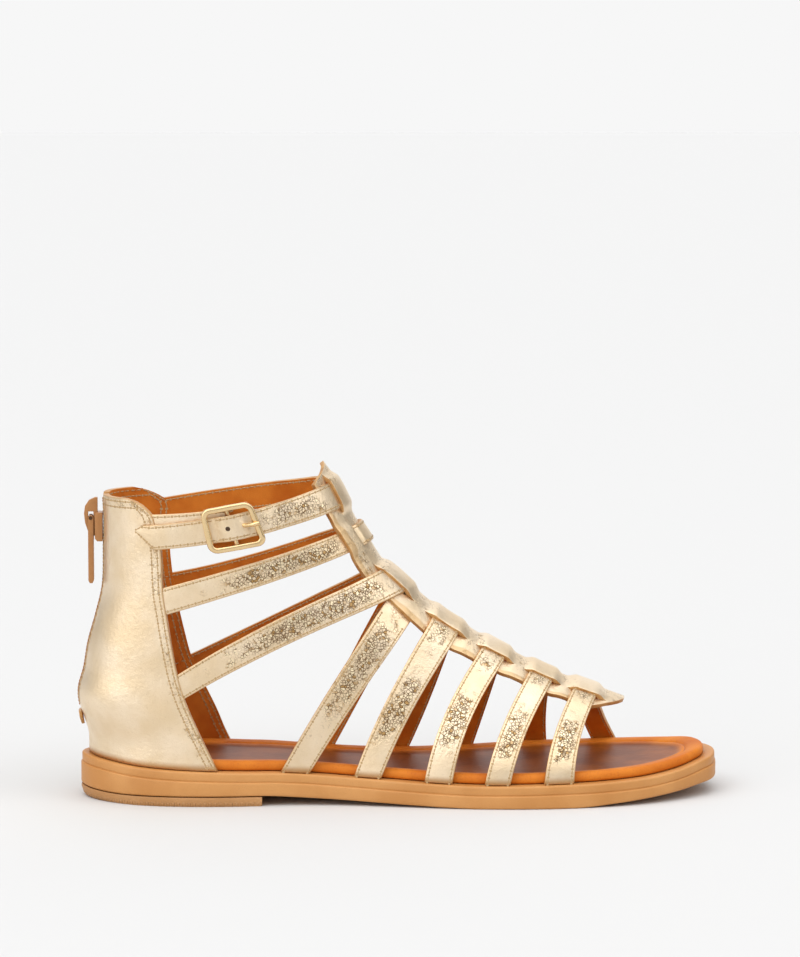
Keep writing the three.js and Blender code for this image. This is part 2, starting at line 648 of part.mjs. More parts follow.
// Bends a piece made flat, with X along the strap, Y across and Z out, onto the top strap
function ontoStrap(geometry) {
  const spots = geometry.attributes.position;
  for (let i = 0; i < spots.count; i += 1) {
    const run = buckleRun + spots.getX(i) / runSpeed;
    const p = strapPoint(STRAPS.top, run, 0.5 - spots.getY(i) / topWidth, spots.getZ(i));
    spots.setXYZ(i, p.x, p.y, p.z);
  }
  return geometry;
}

// Heights above the ankle of the layers at the buckle
const barHeight = LEATHER / 2 + BAR_DIAMETER / 2 + GAP;
const eyeReach = BAR_DIAMETER / 2 + GAP + PRONG_DIAMETER * 0.65;
const humpRise = barHeight + eyeReach + GAP - LAP - LEATHER / 4;
const frameFoot = LAP + LEATHER + GAP;

const nearBar = (along) => 1 - THREE.MathUtils.smoothstep(Math.abs(along), BAR_DIAMETER, BUCKLE_LENGTH / 3);

// The front strap lies on the base strap behind the buckle, arches over its bar and comes down
// to the ankle in front of it
function frontLift(run, p) {
  if (run > 0) return overEdges(run, p);
  const along = fromBuckle(run);
  const down = THREE.MathUtils.smoothstep(along, BUCKLE_LENGTH / 2, BUCKLE_LENGTH);
  return LAP * (1 - down) + humpRise * nearBar(along) + overEdges(run, p);
}

// Its tail is cut to a slanted point on the counter: how far across the strap the point is, and
// how far behind it the cut meets the upper and the lower edge
const TAIL_TIP = 0.2;
const TAIL_WIDTH = 0.06;
const TAIL_UPPER = 1.6;
const TAIL_LOWER = 5.4;

function tailSides(run) {
  const along = (1 + run) * runSpeed;
  const upper = THREE.MathUtils.lerp(TAIL_TIP - TAIL_WIDTH, 0, Math.min(1, along / TAIL_UPPER));
  const lower = THREE.MathUtils.lerp(TAIL_TIP + TAIL_WIDTH, 1, Math.min(1, along / TAIL_LOWER));
  return [upper, lower];
}

const topRuns = [-1, -1 + TAIL_UPPER / runSpeed, ...runs(-1 + TAIL_LOWER / runSpeed, 1, 42)];

function roundedFrame(length, height, radius) {
  const x = length / 2;
  const y = height / 2;
  const outline = [];
  for (const [cx, cy, turn] of [[1, 1, 0], [-1, 1, 1], [-1, -1, 2], [1, -1, 3]]) {
    for (let i = 0; i <= 3; i += 1) {
      const angle = (turn + i / 3) * Math.PI / 2;
      outline.push(new THREE.Vector2(
        cx * (x - radius) + radius * Math.cos(angle), cy * (y - radius) + radius * Math.sin(angle)));
    }
    if (turn === 0 || turn === 2) {
      const to = turn === 0 ? -1 : 1;
      for (const share of [-0.6, 0, 0.6]) outline.push(new THREE.Vector2(to * share * (x - radius), cy * y));
    }
  }
  return outline;
}

function rod(points, diameter, sides) {
  const circle = new THREE.Shape(new THREE.EllipseCurve(0, 0, diameter / 2, diameter / 2).getPoints(sides));
  const path = new THREE.CatmullRomCurve3(points.map((p) => new THREE.Vector3(...p)));
  return new THREE.ExtrudeGeometry(circle, { steps: points.length * 2, bevelEnabled: false, extrudePath: path });
}

function buckleFrame() {
  const bevel = BUCKLE_DEPTH / 4;
  const shape = new THREE.Shape(
    roundedFrame(BUCKLE_LENGTH - 2 * bevel, BUCKLE_HEIGHT - 2 * bevel, BUCKLE_BAND * 1.4));
  const window = roundedFrame(BUCKLE_LENGTH - 2 * BUCKLE_BAND + 2 * bevel,
    BUCKLE_HEIGHT - 2 * BUCKLE_BAND + 2 * bevel, BUCKLE_BAND * 0.8);
  shape.holes.push(new THREE.Path(window.toReversed()));
  const frame = new THREE.ExtrudeGeometry(shape, {
    depth: BUCKLE_DEPTH - 2 * bevel, bevelSize: bevel, bevelThickness: bevel, bevelSegments: 1,
  }).translate(0, 0, frameFoot + bevel);
  const side = BUCKLE_HEIGHT / 2 - BUCKLE_BAND / 2;
  const post = side - BAR_DIAMETER / 8;
  const bar = rod([
    [0, -post, frameFoot + BUCKLE_DEPTH / 2], [0, -post, barHeight + BAR_DIAMETER / 2],
    [0, -post + BAR_DIAMETER / 4, barHeight], [0, 0, barHeight], [0, post - BAR_DIAMETER / 4, barHeight],
    [0, post, barHeight + BAR_DIAMETER / 2], [0, post, frameFoot + BUCKLE_DEPTH / 2],
  ], BAR_DIAMETER, 8);
  return geometryOf(fuse([ontoStrap(frame), ontoStrap(bar)]));
}

// Prong: an eye round the bar, and a pin that comes up through the front strap onto the frame
const prongPath = () => {
  const rest = frameFoot + BUCKLE_DEPTH + GAP + PRONG_DIAMETER / 2;
  const reach = BUCKLE_LENGTH / 2 - BUCKLE_BAND / 2;
  return [
    [eyeReach * 0.8, 0, barHeight + eyeReach * 0.3], [reach * 0.5, 0, (barHeight + rest) / 2],
    [reach * 0.85, 0, rest], [reach + PRONG_DIAMETER / 3, 0, rest],
  ];
};

function barEye(inner, outer, width) {
  const profile = [[inner, -1], [outer, -1], [outer, 1], [inner, 1], [inner, -1]]
    .map(([r, y]) => new THREE.Vector2(r, y * width / 2));
  return new THREE.LatheGeometry(profile, 12).translate(0, 0, barHeight);
}

function buckleProng() {
  const eye = barEye(BAR_DIAMETER / 2 + GAP, eyeReach, PRONG_DIAMETER);
  return geometryOf(fuse([ontoStrap(eye), ontoStrap(rod(prongPath(), PRONG_DIAMETER, 8))]));
}

// What the buckle needs open in the straps: a bore for the bar, a pocket and a hole for the prong
function buckleCuts() {
  const bore = new THREE.CylinderGeometry(
    BAR_DIAMETER / 2 + GAP, BAR_DIAMETER / 2 + GAP, BUCKLE_HEIGHT, 10, 4).translate(0, 0, barHeight);
  const pocket = new THREE.CylinderGeometry(eyeReach + GAP, eyeReach + GAP, PRONG_DIAMETER + 2 * GAP, 12)
    .translate(0, 0, barHeight);
  const hole = rod(prongPath(), PRONG_DIAMETER + 2 * GAP, 8);
  return [bore, pocket, hole].map((cut) => solid(ontoStrap(cut)));
}

// Loop of the base strap round the bar
function barLoop() {
  const width = topWidth * 0.98;
  return ontoStrap(new THREE.CylinderGeometry(eyeReach + GAP, eyeReach + GAP, width, 12, 2)
    .translate(0, 0, barHeight));
}

function upper() {
  const pieces = [counterShell(), ...spine(), barLoop()];
  const tuck = (run, p) => -LEATHER * 0.9 * (1 - THREE.MathUtils.smoothstep(
    Math.abs(p.y), SPINE_WIDTH / 2, SPINE_WIDTH * 0.8));
  for (const name of ['fourth', 'fifth', 'sixth', 'seventh', 'eighth']) {
    pieces.push(strapBand(STRAPS[name], runs(-1, 1, 22), name === 'fourth' ? tuck : overEdges));
  }
  pieces.push(strapBand(STRAPS.second, runs(-1, 1, 26), overBridge));
  pieces.push(strapBand(STRAPS.third, runs(-1, 1, 26), overEdges));
  pieces.push(strapBand(STRAPS.top, topRuns, frontLift, tailSides));
  pieces.push(strapBand(STRAPS.base, runs(-1, runAt(STRAPS.base, SOLE_LENGTH * BUCKLE_AT), 10), () => 0));
  const slot = new THREE.BoxGeometry(SOLE_LENGTH / 4, ZIP_WIDTH + 2 * GAP, COUNTER_HEIGHT)
    .translate(0, 0, zipFoot - GAP + COUNTER_HEIGHT / 2);
  const cuts = [solid(slot), ...buckleCuts()];
  return geometryOf(largest(cuts.reduce((whole, cut) => whole.subtract(cut), fuse(pieces))));
}

// Zip in the slot down the middle of the heel: its chain follows the counter's back
const zipFoot = COUNTER_HEIGHT * 0.3;
const zipTop = COUNTER_HEIGHT * 0.99;

function zipChain() {
  const levels = Array.from({ length: 13 }, (_, i) => THREE.MathUtils.lerp(zipFoot, zipTop, i / 12));
  const spread = (z) => Math.asin(ZIP_WIDTH / 2 / (counterCentre - counterPoint(0, z).x));
  return counterWall(levels, (z) => [-spread(z), spread(z)], 4, ZIP_PROUD, GAP - WALL);
}

// Slider: a plate over the chain with a fin, whose window holds the pull's pin
const sliderTop = COUNTER_HEIGHT * 0.937;
const sliderFace = counterPoint(0, sliderTop - SLIDER_HEIGHT / 2).x - ZIP_PROUD - GAP;
const sliderBack = sliderFace - SLIDER_DEPTH;
const pin = new THREE.Vector2(sliderBack - 1.5, sliderTop - 2);
const ARM_LENGTH = 8.3;

// Body of an outline in the lengthwise plane, as wide across as given
function sideways(outline, width, hole) {
  const shape = new THREE.Shape(outline.map(([x, z]) => new THREE.Vector2(x, z)));
  if (hole) shape.holes.push(new THREE.Path(hole.map(([x, z]) => new THREE.Vector2(x, z))));
  const geometry = new THREE.ExtrudeGeometry(shape, { depth: width, bevelEnabled: false });
  return geometry.translate(0, 0, -width / 2).rotateX(Math.PI / 2);
}

function zipSlider() {
  const foot = sliderTop - SLIDER_HEIGHT;
  const plate = sideways([
    [sliderBack + 0.8, foot], [sliderFace, foot], [sliderFace, sliderTop],
    [sliderBack + 0.8, sliderTop], [sliderBack, sliderTop - 1], [sliderBack, foot + 1],
  ], SLIDER_WIDTH);
  const { x, y } = pin;
  const halfPin = PIN_DIAMETER / 2 + GAP;
  const fin = sideways([
    [sliderBack + 1, sliderTop - 0.5], [sliderBack + 1, y + 7.4], [x + 1.6, y + 7.4], [x - 0.6, y + 6.4],
    [x - 2.1, y + 4.2], [x - 2.5, y + 1.4], [x - 2.1, y - 2], [x - 0.6, y - 6.4], [sliderBack + 1, y - 7],
  ], FIN_THICKNESS, [
    [x - halfPin, y - 2.2], [x - halfPin, y + 2.2], [x + halfPin, y + 2.2], [x + halfPin, y - 2.2],
  ]);
  return geometryOf(fuse([plate, fin]));
}

// Pull: a tab with two arms that straddle the fin, joined by a pin through its window
function zipPull() {
  const half = PULL_THICKNESS / 2;
  const [x, y] = [pin.x, pin.y];
  const foot = y - PULL_LENGTH;
  const tab = sideways([
    [x - half, y - ARM_LENGTH], [x - half, foot + half], [x - half / 2, foot], [x + half / 2, foot],
    [x + half, foot + half], [x + half, y - ARM_LENGTH],
  ], PULL_WIDTH);
  const arm = FIN_THICKNESS / 2 + GAP;
  const armWidth = PULL_WIDTH / 2 - arm;
  const arms = [-1, 1].map((side) => sideways([
    [x - half, y], [x - half, y - ARM_LENGTH - half], [x + half, y - ARM_LENGTH - half], [x + half, y],
    [x + half / 2, y + half], [x - half / 2, y + half],
  ], armWidth).translate(0, side * (arm + armWidth / 2), 0));
  const cross = new THREE.CylinderGeometry(PIN_DIAMETER / 2, PIN_DIAMETER / 2, PULL_WIDTH - armWidth, 12)
    .translate(x, 0, y);
  return geometryOf(fuse([tab, ...arms, cross]));
}

function piece(name, geometry, finish) {
  const mesh = new THREE.Mesh(geometry, new THREE.MeshStandardMaterial(finish));
  mesh.name = name;
  return mesh;
}

const sandal = new THREE.Group();
sandal.add(piece('outsole', outsole(), GUM));
sandal.add(piece('heel_lift', heelLift(), GUM_LIGHT));
sandal.add(piece('insole', insole(), TAN));
sandal.add(piece('upper', upper(), GOLD));
sandal.add(piece('zip_chain', zipChain(), TAN_METAL));
sandal.add(piece('zip_slider', zipSlider(), TAN_METAL));
sandal.add(piece('zip_pull', zipPull(), TAN_METAL));
sandal.add(piece('buckle_frame', buckleFrame(), BRASS));
sandal.add(piece('buckle_prong', buckleProng(), BRASS));
sandal.position.set(-LIFT_LENGTH / 2, 0, 0);

export default sandal;
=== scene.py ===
"""Gladiator sandal for a girl's right foot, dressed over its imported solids.

Lengths are in millimetres until a mesh is made, measured like the solids from the heel's back,
with +X to the toe, +Y to the inner side of the foot and +Z up.
"""
import math
from collections import namedtuple

import bpy
from mathutils import Matrix, Vector


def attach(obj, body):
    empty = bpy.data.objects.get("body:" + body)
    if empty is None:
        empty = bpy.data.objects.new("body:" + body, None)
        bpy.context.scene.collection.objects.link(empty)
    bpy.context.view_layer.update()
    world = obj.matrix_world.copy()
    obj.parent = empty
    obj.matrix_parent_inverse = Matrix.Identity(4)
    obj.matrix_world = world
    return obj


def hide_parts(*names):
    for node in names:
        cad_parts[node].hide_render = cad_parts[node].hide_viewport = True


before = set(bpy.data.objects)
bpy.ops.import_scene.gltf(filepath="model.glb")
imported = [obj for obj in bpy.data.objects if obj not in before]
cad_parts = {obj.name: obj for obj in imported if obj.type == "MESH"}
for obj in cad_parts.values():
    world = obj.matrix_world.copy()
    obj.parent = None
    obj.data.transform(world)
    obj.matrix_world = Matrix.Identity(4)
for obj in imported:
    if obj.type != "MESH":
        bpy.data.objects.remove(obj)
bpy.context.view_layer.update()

# Outsole: one moulded gum unit. A groove all round parts its side wall from a slimmer upper band,
# whose rounded top edge carries the ledge beside the insole. Fine ribs of tread cover its underside.
MM = 0.001
SOLE_LENGTH = 235.0
BALL_WIDTH = 85.5
HEEL_WIDTH = 61.0
SOLE_THICKNESS = 8.4
LIFT_HEIGHT = 3.7
LIFT_LENGTH = 66.0
TOE_SPRING = 5.4
GAP = 0.3
LEDGE_WIDTH = 4.5
BAND_HEIGHT = 3.5
BAND_STEP = 0.4
GROOVE_DEPTH = 0.62
EDGE_ROUND = 0.8
ORIGIN = Vector((LIFT_LENGTH / 2, 0, 0))

OutlineRow = namedtuple("OutlineRow", "at of lateral medial")
OUTLINE = [
    OutlineRow(0.013, HEEL_WIDTH, 0.172, 0.172),
    OutlineRow(0.043, HEEL_WIDTH, 0.303, 0.303),
    OutlineRow(0.085, HEEL_WIDTH, 0.41, 0.41),
    OutlineRow(0.14, HEEL_WIDTH, 0.475, 0.475),
    OutlineRow(0.213, HEEL_WIDTH, 0.5, 0.497),
    OutlineRow(0.281, HEEL_WIDTH, 0.489, 0.47),
    OutlineRow(0.345, HEEL_WIDTH, 0.475, 0.436),
    OutlineRow(0.413, BALL_WIDTH, 0.357, 0.298),
    OutlineRow(0.485, BALL_WIDTH, 0.398, 0.318),
    OutlineRow(0.553, BALL_WIDTH, 0.44, 0.38),
    OutlineRow(0.621, BALL_WIDTH, 0.47, 0.447),
    OutlineRow(0.689, BALL_WIDTH, 0.481, 0.495),
    OutlineRow(0.757, BALL_WIDTH, 0.469, 0.518),
    OutlineRow(0.826, BALL_WIDTH, 0.433, 0.515),
    OutlineRow(0.885, BALL_WIDTH, 0.372, 0.48),
    OutlineRow(0.932, BALL_WIDTH, 0.292, 0.407),
    OutlineRow(0.968, BALL_WIDTH, 0.205, 0.306),
    OutlineRow(0.989, BALL_WIDTH, 0.125, 0.208),
]
TOE_TIP_ACROSS = 0.047

SideRow = namedtuple("SideRow", "at lift spring thick ledge")
SIDE = [
    SideRow(0, 1.24, 0, 1.39, 1.29),
    SideRow(0.043, 1.03, 0, 1.33, 1.27),
    SideRow(0.085, 1, 0, 1.21, 1.24),
    SideRow(0.14, 1, 0, 1.11, 1.18),
    SideRow(0.213, 1, 0, 1.04, 1.04),
    SideRow(0.281, 1, 0, 1, 1),
    SideRow(0.345, 0.78, 0, 1.02, 1),
    SideRow(0.413, 0.54, 0, 1, 1),
    SideRow(0.485, 0.3, 0, 0.99, 1),
    SideRow(0.553, 0.12, 0, 0.98, 1),
    SideRow(0.621, 0, 0, 0.98, 1),
    SideRow(0.689, 0, 0, 0.99, 1),
    SideRow(0.757, 0, 0, 1.02, 1),
    SideRow(0.826, 0, 0.2, 0.94, 1),
    SideRow(0.885, 0, 0.43, 0.89, 1),
    SideRow(0.932, 0, 0.65, 0.92, 1.02),
    SideRow(0.968, 0, 0.88, 1, 1.02),
    SideRow(1, 0, 1, 1.1, 1.02),
]

columns = {}


def column(rows, name):
    """Places, values and slopes of one column, level on peaks and plateaus."""
    key = (id(rows), name)
    if key not in columns:
        places = [row[0] for row in rows]
        values = [getattr(row, name) for row in rows]
        slopes = []
        for k in range(len(rows)):
            before = max(k - 1, 0)
            after = min(k + 1, len(rows) - 1)
            turns = (values[after] - values[k]) * (values[k] - values[before]) <= 0
            slope = (values[after] - values[before]) / (places[after] - places[before])
            slopes.append(0.0 if turns and 0 < k < len(rows) - 1 else slope)
        columns[key] = places, values, slopes
    return columns[key]


def read(rows, name, at):
    """Smooth value of a column between its rows."""
    places, values, slopes = column(rows, name)
    i = 0
    while i < len(places) - 2 and places[i + 1] < at:
        i += 1
    span = places[i + 1] - places[i]
    t = min(max((at - places[i]) / span, 0), 1)
    start = (2 * t**3 - 3 * t**2 + 1) * values[i] + (t**3 - 2 * t**2 + t) * span * slopes[i]
    return start + (3 * t**2 - 2 * t**3) * values[i + 1] + (t**3 - t**2) * span * slopes[i + 1]


def mix(a, b, t):
    return a + (b - a) * t


def smooth(x, low, high):
    t = min(max((x - low) / (high - low), 0), 1)
    return t * t * (3 - 2 * t)


def solve(low, high, below, rounds=22):
    """Highest value between two that is still below a goal, found by halving."""
    for _ in range(rounds):
        half = (low + high) / 2
        if below(half):
            low = half
        else:
            high = half
    return low


def underside(x):
    at = x / SOLE_LENGTH
    return LIFT_HEIGHT * read(SIDE, "lift", at) + TOE_SPRING * read(SIDE, "spring", at)


def ledge_top(x):
    return underside(x) + SOLE_THICKNESS * read(SIDE, "thick", x / SOLE_LENGTH)


def ledge_width(x):
    return LEDGE_WIDTH * read(SIDE, "ledge", x / SOLE_LENGTH)


outline_stops = [Vector((0, 0))]
outline_stops += [Vector((SOLE_LENGTH * row.at, -row.of * row.lateral)) for row in OUTLINE]
outline_stops += [Vector((SOLE_LENGTH, BALL_WIDTH * TOE_TIP_ACROSS))]
outline_stops += [Vector((SOLE_LENGTH * row.at, row.of * row.medial)) for row in reversed(OUTLINE)]


def outline_point(share):
    """Point of the sole's outline, a closed centripetal curve: heel, outer side, toe, inner side."""
    count = len(outline_stops)
    place = (share % 1) * count
    i = int(place)
    t = place - i
    p = [outline_stops[(i + k) % count] for k in (-1, 0, 1, 2)]
    d = [max((p[k + 1] - p[k]).length ** 0.5, 1e-4) for k in range(3)]
    start = (p[1] - p[0]) / d[0] - (p[2] - p[0]) / (d[0] + d[1]) + (p[2] - p[1]) / d[1]
    end = (p[2] - p[1]) / d[1] - (p[3] - p[1]) / (d[1] + d[2]) + (p[3] - p[2]) / d[2]
    start *= d[1]
    end *= d[1]
    bend = -3 * p[1] + 3 * p[2] - 2 * start - end
    return p[1] + start * t + bend * t**2 + (2 * p[1] - 2 * p[2] + start + end) * t**3


def outline_inset(share, inset):
    ahead = outline_point(share + 1e-4) - outline_point(share - 1e-4)
    inward = Vector((-ahead.y, ahead.x)).normalized()
    p = outline_point(share)
    return p + inward * inset(p.x)


# Caps close on a line down the middle of the sole
MIDDLE_FROM = SOLE_LENGTH * 0.13
MIDDLE_TO = SOLE_LENGTH * 0.86
MIDDLE_STEP = 2.5


def ring_point(share, inset, height, size=1.0):
    """Point of a ring. Both sides of a ring with no size share their points, so that it closes."""
    p = outline_inset(share, inset)
    middle = min(max(p.x, MIDDLE_FROM), MIDDLE_TO)
    if size == 0:
        middle = MIDDLE_STEP * round(middle / MIDDLE_STEP)
    p = Vector((middle, 0)).lerp(p, size)
    return Vector((p.x, p.y, height(p.x)))


def drape(name, columns, rows, surface):
    """Adds a grid and lays its points on a surface, given in shares of its two sides."""
    bpy.ops.object.select_all(action="DESELECT")
    bpy.ops.mesh.primitive_grid_add(x_subdivisions=columns, y_subdivisions=rows, size=1)
    piece = bpy.context.object
    piece.name = name
    for corner in piece.data.vertices:
        corner.co = (surface(corner.co.x + 0.5, corner.co.y + 0.5) - ORIGIN) * MM
    return piece


def pick(piece):
    """Makes a piece the active one and the only one selected."""
    bpy.ops.object.select_all(action="DESELECT")
    piece.select_set(True)
    bpy.context.view_layer.objects.active = piece


def edit(piece, work):
    """Runs an edit-mode step on the whole of one piece."""
    pick(piece)
    bpy.ops.object.mode_set(mode="EDIT")
    bpy.ops.mesh.select_all(action="SELECT")
    work()
    bpy.ops.object.mode_set(mode="OBJECT")


SAME_PLACE = 2e-6


def close_seams():
    bpy.ops.mesh.remove_doubles(threshold=SAME_PLACE)


def apply_all(piece):
    pick(piece)
    for modifier in list(piece.modifiers):
        bpy.ops.object.modifier_apply(modifier=modifier.name)


def soften(piece, angle):
    pick(piece)
    bpy.ops.object.shade_smooth_by_angle(angle=math.radians(angle))


def moulded(name, rings, around):
    """Closed body through rings of the sole's outline, from its underside over its side to its top."""

    def surface(u, v):
        place = v * (len(rings) - 1)
        inset, height, size = rings[round(place)]
        return ring_point(u, inset, height, size)

    piece = drape(name, around, len(rings) - 1, surface)
    edit(piece, close_seams)
    return piece


def steady(value):
    return lambda x: value


def band_foot(x):
    return ledge_top(x) - BAND_HEIGHT


outsole_rings = [(steady(EDGE_ROUND), underside, size) for size in (0, 0.3, 0.6, 0.85, 0.96)]
for turn in range(5):
    angle = math.pi / 2 * turn / 4
    outsole_rings.append((
        steady(EDGE_ROUND * (1 - math.sin(angle))),
        lambda x, rise=EDGE_ROUND * (1 - math.cos(angle)): underside(x) + rise, 1))
outsole_rings += [
    (steady(0), lambda x: mix(underside(x), band_foot(x), 0.5), 1),
    (steady(0), lambda x: band_foot(x) - EDGE_ROUND * 0.7, 1),
    (steady(0.04), lambda x: band_foot(x) - EDGE_ROUND * 0.4, 1),
    (steady(0.2), lambda x: band_foot(x) - EDGE_ROUND * 0.15, 1),
    (steady(GROOVE_DEPTH), lambda x: band_foot(x) + EDGE_ROUND * 0.1, 1),
    (steady(GROOVE_DEPTH), lambda x: band_foot(x) + EDGE_ROUND * 0.25, 1),
    (steady(BAND_STEP + 0.05), lambda x: band_foot(x) + EDGE_ROUND * 0.5, 1),
    (steady(BAND_STEP), lambda x: band_foot(x) + EDGE_ROUND * 0.9, 1),
    (steady(BAND_STEP), lambda x: mix(band_foot(x), ledge_top(x), 0.5), 1),
]
for turn in range(5):
    angle = math.pi / 2 * turn / 4
    outsole_rings.append((
        steady(BAND_STEP + EDGE_ROUND * (1 - math.cos(angle))),
        lambda x, drop=EDGE_ROUND * (1 - math.sin(angle)): ledge_top(x) - drop, 1))
outsole_rings += [(steady(BAND_STEP + EDGE_ROUND), ledge_top, size) for size in (0.96, 0.85, 0.5, 0)]
outsole = moulded("outsole_moulding", outsole_rings, 456)
soften(outsole, 50)


def node(tree, kind, inputs=None, **settings):
    """Adds a shader node. An input that is a socket is linked, and any other value is set."""
    made = tree.nodes.new("ShaderNode" + kind)
    for name, value in settings.items():
        setattr(made, name, value)
    for name, value in (inputs or {}).items():
        if isinstance(value, bpy.types.NodeSocket):
            tree.links.new(value, made.inputs[name])
        else:
            made.inputs[name].default_value = value
    return made


def remap(tree, value, low, high, to_low=0.0, to_high=1.0):
    inputs = {"Value": value, "From Min": low, "From Max": high, "To Min": to_low, "To Max": to_high}
    return node(tree, "MapRange", inputs, interpolation_type="SMOOTHSTEP").outputs["Result"]


def maths(tree, operation, a, b=0.0):
    return node(tree, "Math", {0: a, 1: b}, operation=operation).outputs[0]


def blend(tree, amount, a, b):
    made = tree.nodes.new("ShaderNodeMix")
    made.data_type = "RGBA"
    for place, value in ((0, amount), (6, a), (7, b)):
        if isinstance(value, bpy.types.NodeSocket):
            tree.links.new(value, made.inputs[place])
        else:
            made.inputs[place].default_value = value
    return made.outputs[2]


def colour(red, green, blue):
    """Linear colour of a shade given as 0 to 255."""
    shares = [value / 255 for value in (red, green, blue)]
    return [s / 12.92 if s <= 0.04045 else ((s + 0.055) / 1.055) ** 2.4 for s in shares] + [1.0]


def finish(name, base, roughness, metallic=0.0, height=None, relief=0.0002, **extra):
    """Material from a base colour, roughness and metallic, each a value or a socket's maker."""
    material = bpy.data.materials.new(name)
    material.use_nodes = True
    tree = material.node_tree
    shader = tree.nodes["Principled BSDF"]
    for socket, value in (("Base Color", base), ("Roughness", roughness), ("Metallic", metallic)):
        value = value(tree) if callable(value) else value
        if isinstance(value, bpy.types.NodeSocket):
            tree.links.new(value, shader.inputs[socket])
        else:
            shader.inputs[socket].default_value = value
    if height:
        bump = node(tree, "Bump", {"Height": height(tree), "Strength": 1.0, "Distance": relief})
        tree.links.new(bump.outputs["Normal"], shader.inputs["Normal"])
    for socket, value in extra.items():
        shader.inputs[socket.replace("_", " ")].default_value = value
    return material


def wear_in(piece, *materials):
    piece.data.materials.clear()
    for material in materials:
        piece.data.materials.append(material)


def group(name, inputs, outputs):
    """Node group of floats: its named inputs with their defaults, and its named outputs."""
    tree = bpy.data.node_groups.new(name, "ShaderNodeTree")
    for socket, value in inputs.items():
        made = tree.interface.new_socket(socket, in_out="INPUT", socket_type="NodeSocketFloat")
        made.default_value = value
    for socket in outputs:
        tree.interface.new_socket(socket, in_out="OUTPUT", socket_type="NodeSocketFloat")
    return tree, tree.nodes.new("NodeGroupInput"), tree.nodes.new("NodeGroupOutput")


def use(tree, made, **inputs):
    placed = tree.nodes.new("ShaderNodeGroup")
    placed.node_tree = made
    for name, value in inputs.items():
        socket = placed.inputs[name]
        if isinstance(value, bpy.types.NodeSocket):
            tree.links.new(value, socket)
        else:
            socket.default_value = value
    return placed.outputs


# Mottle: soft clouds of tone and a finer grain, in millimetres
mottle, mottle_in, mottle_out = group("mottle", {"Cloud": 18.0, "Grain": 0.6}, ("Clouds", "Specks"))
mottle_place = node(mottle, "TexCoord").outputs["Object"]
for size, output in (("Cloud", "Clouds"), ("Grain", "Specks")):
    scale = maths(mottle, "DIVIDE", 1000.0, mottle_in.outputs[size])
    cloud = node(mottle, "TexNoise", {"Vector": mottle_place, "Scale": scale, "Detail": 3.0})
    mottle.links.new(cloud.outputs["Fac"], mottle_out.inputs[output])


def grained(size):
    """Maker of a value that drifts in soft clouds of a size."""
    return lambda tree: use(tree, mottle, Cloud=size)["Clouds"]


def mottled(size, dark, light):
    """Maker of a colour that drifts between two shades in soft clouds."""
    return lambda tree: blend(tree, grained(size)(tree), dark, light)


def clouded(size, dark, light, low=0.3, high=0.7):
    """Maker of a colour in clearer clouds, with areas of both shades."""
    return lambda tree: blend(tree, remap(tree, grained(size)(tree), low, high), dark, light)


def gum_base(tree):
    spots = use(tree, mottle, Cloud=26.0, Grain=0.5)
    tone = blend(tree, remap(tree, spots["Clouds"], 0.35, 0.65), colour(188, 128, 64), colour(201, 143, 80))
    speck = maths(tree, "MULTIPLY", remap(tree, spots["Specks"], 0.55, 0.75), 0.25)
    return blend(tree, speck, tone, colour(168, 112, 62))


RIB_SCALE = 62.0


def gum_height(tree):
    spots = use(tree, mottle, Cloud=3.0, Grain=0.45)
    place = node(tree, "TexCoord").outputs["Object"]
    across = node(tree, "SeparateXYZ", {0: place})
    facing = node(tree, "SeparateXYZ", {0: node(tree, "NewGeometry").outputs["True Normal"]})
    below = remap(tree, facing.outputs["Z"], -0.9, -0.98)
    rib = node(tree, "TexWave", {"Vector": place, "Scale": RIB_SCALE}, bands_direction="X")
    cross = node(tree, "TexWave", {"Vector": place, "Scale": RIB_SCALE}, bands_direction="Y")
    tread = maths(tree, "MULTIPLY", remap(tree, rib.outputs["Fac"], 0.3, 0.45),
                  remap(tree, cross.outputs["Fac"], 0.12, 0.25))
    tread = maths(tree, "MULTIPLY", maths(tree, "MULTIPLY", tread, below), 3.0)
    grain = maths(tree, "ADD", maths(tree, "MULTIPLY", spots["Specks"], 0.35), spots["Clouds"])
    return maths(tree, "ADD", grain, tread)


gum = finish("gum", gum_base, 0.5, height=gum_height, relief=0.00012)
wear_in(outsole, gum)
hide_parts("outsole")
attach(outsole, "shoe")

# Heel lift: a flat gum top piece glued under the heel, paler than the sole. Its lower edge is
# bevelled round the back and cut with fine teeth for grip.
LIFT_BEVEL = 2.2
TOOTH_PITCH = 1.9


def lift_bevel(x):
    return EDGE_ROUND + (LIFT_BEVEL - EDGE_ROUND) * max(0, 1 - x / (LIFT_LENGTH / 4))


def lift_top(x):
    return max(underside(x) - GAP, LIFT_HEIGHT / 2)


lift_rings = [(lift_bevel, steady(0), size) for size in (0, 0.5, 0.9)]
lift_rings += [
    (lift_bevel, steady(0), 1),
    (lambda x: lift_bevel(x) * 0.62, steady(LIFT_HEIGHT * 0.1), 1),
    (lambda x: lift_bevel(x) * 0.33, steady(LIFT_HEIGHT * 0.33), 1),
    (steady(0.05), lambda x: lift_top(x) * 0.8, 1),
    (steady(0.2), lift_top, 1),
]
lift_rings += [(steady(0.2), lift_top, size) for size in (0.9, 0.5, 0)]
heel_lift = moulded("heel_lift_piece", lift_rings, 456)


def cut_at_breast():
    bpy.ops.mesh.bisect(plane_co=(LIFT_LENGTH / 2 * MM, 0, 0), plane_no=(1, 0, 0),
                        clear_outer=True, use_fill=True)


edit(heel_lift, cut_at_breast)
soften(heel_lift, 40)


